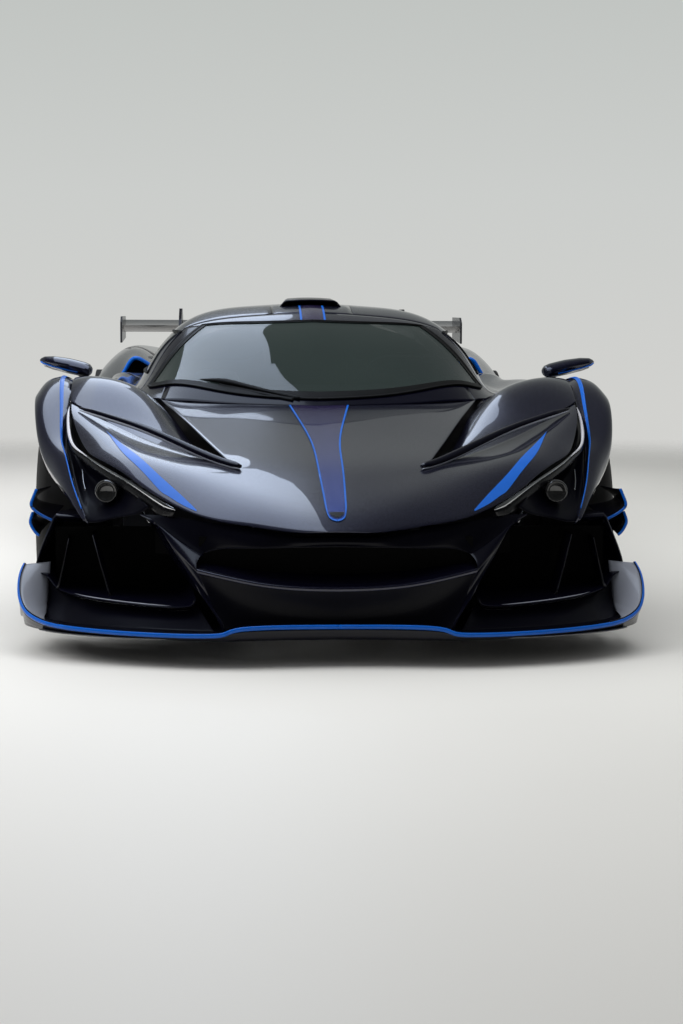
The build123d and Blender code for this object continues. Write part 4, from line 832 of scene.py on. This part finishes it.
lip = .055 * np.abs(across / seatSet["shellHalf"]) ** 5
seatBack = shellLine[:, None] + np.stack([across + seatX, -lip * .8, lip], 1)[None]
skin("seatShell", [seatBack], (0, -.5, 1.0), carbon, thick=seatSet["shell"], **cover)
print("seats done")

# mirrors: a flat pod on a stalk, black below and blue along its front edge
mirrorSet = {"size": [.001, .007, .016, .023, .027, .026, .022, .012], "rim": .0026, "stalk": (.011, .007)}
pod = line([(1.01, 1.465, .876), (1.002, 1.468, .875), (.975, 1.474, .87), (.93, 1.48, .861), (.88, 1.485, .85),
    (.84, 1.488, .84), (.826, 1.488, .837)], 40)
size = along(40, [0, .02, .08, .25, .55, .85, .96, 1], mirrorSet["size"])
rimSize = size[1:30]
podFront = pod[1:30] + np.stack([0 * rimSize, -1.9 * rimSize, -.55 * rimSize], 1)
stalk = line([(.88, 1.49, .834), (.86, 1.495, .818), (.83, 1.505, .804), (.8, 1.51, .791), (.765, 1.515, .777)], 30)
bars("mirrorPod", [(pod, size, (2.2, 1))], paint, hide=("mirrors",), **shell, sides=20)
bars("mirrorBelly", [(pod[4:38] + (0, .004, -.006), size[4:38] * .86, (2.1, 1))], gloss, sides=16)
bars("mirrorRim", [(podFront, mirrorSet["rim"])], blue)
bars("mirrorStalk", [(stalk, np.linspace(*mirrorSet["stalk"], 30), (2.2, .8))], gloss)
print("mirrors done")

# rear body: haunches cut round the wheel arch, a blue edge, the engine cover with its slats, and arch liners
rearTable = table([
    (3.04, (0, 1.04), (.33, .985), (.56, .792), (.722, .844), (.802, .76), (.925, .54), (.9, .19)),
    (3.43, (0, .975), (.29, .925), (.53, .785), (.7, .862), (.842, .828), (.983, .59), (.93, .3)),
    (3.83, (0, .925), (.26, .88), (.48, .772), (.7, .868), (.858, .846), (.993, .64), (.96, .4)),
    (4.28, (0, .86), (.23, .828), (.44, .752), (.675, .856), (.838, .84), (.986, .6), (.96, .33)),
    (4.83, (0, .79), (.2, .778), (.4, .74), (.63, .832), (.785, .838), (.933, .62), (.9, .3)),
], 30)
rearSet = {"wheelBack": 3.83, "wheelZ": .364, "arch": .41, "skin": .006, "cover": .005, "slats": (3.42, 4.1, 8),
    "edge": [.004, .008, .011, .008, .005]}


def archPoints(back, z, radius, angle):  # s and z round a wheel
    return back - radius * np.cos(angle), z + radius * np.sin(angle)


archBacks, archZ = archPoints(rearSet["wheelBack"], rearSet["wheelZ"], rearSet["arch"], np.linspace(0, np.pi, 61))
before, after = np.linspace(3.044, archBacks[0], 16), np.linspace(archBacks[-1], 4.826, 20)
haunchGrids = []
for s, low, floorLine in ((before, rearSet["wheelZ"], .206), (archBacks, archZ, None),
    (after, rearSet["wheelZ"], np.interp(after, [4.24, 4.84], [.32, .3]))):
    sec = section(rearTable, s)
    lowEdge = crossing(sec, 2, low, 120, 180)
    haunchGrids.append(strip(sec, crossing(sec, 0, .458, 0, 90), lowEdge, 60))
    if floorLine is not None:
        haunchGrids.append(strip(sec, lowEdge, crossing(sec, 2, floorLine, 120, 180), 8))
skin("haunchSkin", haunchGrids, outOf, paint, hide=("rear_fender_left", "rear_fender_right"), **shell,
     thick=rearSet["skin"])
sec = section(rearTable, np.array([3.044]))
rimLine = strip(sec, np.array([62.0]), crossing(sec, 2, .206, 150, 180), 70)[0]
bars("haunchEdge", [(rimLine + (0, -.004, 0), along(70, [0, .1, .35, .6, 1], rearSet["edge"]), (1.5, .9))], blue)
haunchDuct = between(rimLine + (-.004, .004, -.004), rimLine * (.88, 1, .95) + (0, .26, 0), 8)
skin("haunchDuct", [haunchDuct], forward, frit, **shell, **flatSkin)
sec = section(rearTable, np.linspace(3.066, 4.298, 60))
coverGrid = strip(sec, np.zeros(60), crossing(sec, 0, .448, 0, 90), 40)
skin("engineCoverSkin", [coverGrid], upward, paint, "engine_cover", hide=("engine_cover",), **shell,
     thick=rearSet["cover"])
sec = section(rearTable, np.linspace(*rearSet["slats"]))
slatLines = strip(sec, crossing(sec, 0, .06, 0, 60), crossing(sec, 0, .3, 0, 60), 24)
bars("coverSlats", [(p + (0, 0, .006), .01, (1.8, .7)) for p in slatLines], gloss, "engine_cover", **shell, sides=8)


def liner(name, back, z, radius, xIn, xOut, start=0.0, stop=np.pi):  # black half drum: a circle carried across the car
    s, high = archPoints(back + noseY, z, radius, np.linspace(start, stop, 49))
    ring = np.stack([0 * s, s, high], 1)
    skin(name, [between(ring + (xIn, 0, 0), ring + (xOut, 0, 0), 4)], (0, 0, -1.0), rubber, thick=.003, bevel=0)


liner("rearLiner", rearSet["wheelBack"], rearSet["wheelZ"], .405, .66, .955)
liner("frontLiner", 1.13, .343, .394, .765, .945, 1.22, 1.92)
print("rear body done")

# camera: 6 m ahead of the nose, 1.07 m up, turned a little to the right and down
camSet = {"place": (-.33, -8.561, 1.0695), "right": 3.14, "down": 5.68, "tilt": -.25, "lens": 72.2}
cam = placed("camera", bpy.data.cameras.new("camera"))
cam.data.lens, cam.location = camSet["lens"], camSet["place"]
cam.rotation_euler = [math.radians(a) for a in (90 - camSet["down"], camSet["tilt"], -camSet["right"])]
bpy.context.scene.camera = cam

# floor: a pale disc that fades out into the backdrop
floorSet = {"radius": 12, "corners": 96, "fade": (5.6, 9.0), "left": (.72, .715, .7), "right": (.6, .6, .57)}
turns = [2 * math.pi * k / floorSet["corners"] for k in range(floorSet["corners"])]
floorRing = [(floorSet["radius"] * math.cos(a), floorSet["radius"] * math.sin(a), 0) for a in turns]
floor = placed("floor", meshOf("floor", floorRing, [tuple(range(floorSet["corners"]))]))


def floorLook(net):  # painted lighter on the left, where the light falls, and see-through past the fade's distances
    v = net.coords()
    x, y, z = net.split(v)
    fade = net.ramped((x * x + y * y) ** .5, *floorSet["fade"], 1.0, 0.0, smooth=True)
    # painted light: the floor's colour lighter towards the left light, darker to the right
    base = net.mix(net.ramped(x, -3.0, 3.0), rgb(*floorSet["left"]), rgb(*floorSet["right"]))
    return {"Base Color": base, "Roughness": .45 + .15 * net.noise(v, .8), "Alpha": fade}


floor.data.materials.append(newMaterial("paleFloor", floorLook, {"Specular IOR Level": .3}))

lightSet = {"topLight": {"place": (0, .5, 5.0), "aim": (0, 0, 0), "size": (7, 9), "power": 420},
    "leftLight": {"place": (-5, -1.5, 4.0), "aim": (0, 0, .4), "size": (4, 4), "power": 260}}
for name, settings in lightSet.items():
    light = placed(name, bpy.data.lights.new(name, "AREA"))
    light.data.shape, light.data.energy = "RECTANGLE", settings["power"]
    light.data.size, light.data.size_y = settings["size"]
    light.location = settings["place"]
    light.rotation_euler = (Vector(settings["aim"]) - Vector(settings["place"])).to_track_quat("-Z", "Y").to_euler()
    light.visible_glossy = False

# softboxes: lit sheets over the left, seen only in reflections; each runs from its left side to a border line of (x, s)
boxSet = {"strength": 2.3, "dim": (.64, .76, 1.0), "bright": (.8, .89, 1.0), "sheets": [
    {"z": 2.5, "left": -1.17, "border": [(0, .2), (0, .98), (.02, 1.6), (-.05, 2.0), (-.12, 2.24), (-.19, 2.53), (-.24, 2.96),
        (-.27, 3.36), (-.17, 3.75), (-.08, 4.1), (-.07, 4.6), (-.08, 4.9), (-.12, 5.15)]},
    {"z": 1.35, "left": -.8, "border": [(-.02, .3), (-.02, .51), (.018, 1.2), (-.017, 1.62), (-.1, 1.8), (-.16, 1.95)]},
]}
boxVerts, boxFaces = [], []
for sheet in boxSet["sheets"]:
    right = even(through(np.array(sheet["border"], float), 200), 60)
    x, s = np.stack([right[:, 0], 0 * right[:, 0] + sheet["left"]]), np.stack([right[:, 1]] * 2)
    boxFaces.append(gridFaces(2, 60, 120 * len(boxVerts), False))
    boxVerts.append(np.stack([x, s + noseY, 0 * x + sheet["z"]], -1).reshape(-1, 3))
softbox = placed("softbox", meshOf("softbox", np.concatenate(boxVerts).tolist(), np.concatenate(boxFaces).tolist()))


def boxLook(net):
    f = net.noise(net.coords(), .7, 1.0)
    return {"Emission Color": net.mix(f, rgb(*boxSet["dim"]), rgb(*boxSet["bright"]))}


glow = {"Base Color": rgb(0, 0, 0), "Emission Strength": boxSet["strength"], "Roughness": 1.0, "Specular IOR Level": 0.0}
softbox.data.materials.append(newMaterial("softboxGlow", boxLook, glow))
for flag in ("visible_camera", "visible_diffuse", "visible_transmission", "visible_shadow", "visible_volume_scatter"):
    setattr(softbox, flag, False)

# backdrop: the camera sees a wall paler below; shiny surfaces see a dim ceiling and a pale wall low behind
wallStops = [(0.0, (.64, .64, .62)), (.3, (.6, .615, .6)), (.7, (.5, .525, .505)), (1.0, (.4, .43, .41))]
worldSet = {"wall": wallStops, "fill": (.34, .34, .34), "horizon": (.42, .43, .42), "dark": (.012, .013, .014)}
world = bpy.data.worlds.new("studio")
world.use_nodes = True
bpy.context.scene.world = world
wn = Net(world.node_tree)
path = world.node_tree.nodes.new("ShaderNodeLightPath")
rays = ("Is Camera Ray", "Is Glossy Ray", "Is Transmission Ray")
seen, glossy, inGlass = (Sock(wn, path.outputs[kind]) for kind in rays)
dx, dy, dz = wn.split(wn.node("ShaderNodeTexCoord", out=0))
wall = wn.node("ShaderNodeValToRGB", {"stops": worldSet["wall"]}, [wn.ramped(dz, -.05, .3)])
horizon = wn.band(dz, -1.0, .16, .07) * wn.band(dy, .35, 2.0, .25)
leftDark = wn.band(dx, -2.0, -.22, .08)
slope = wn.ramped(dz, .25, .85, .24, .1)
lid = wn.node("ShaderNodeCombineColor", {}, {0: slope, 1: slope * 1.06, 2: slope * 1.04})
ceiling = wn.mix(wn.band(dy, -.1, 2.0, .3), rgb(*worldSet["dark"]), lid)
shiny = wn.mix(horizon * (1.0 - .85 * leftDark), ceiling, rgb(*worldSet["horizon"]))
plain = wn.mix(seen.highest(inGlass), rgb(*worldSet["fill"]), wall)
back = wn.node("ShaderNodeBackground", {}, {0: wn.mix(glossy, plain, shiny), 1: 1.0})
end = world.node_tree.nodes.new("ShaderNodeOutputWorld")
world.node_tree.links.new(back.out, end.inputs[0])
bpy.context.scene.view_settings.view_transform = "Standard"
print("camera, floor, lights and backdrop done")
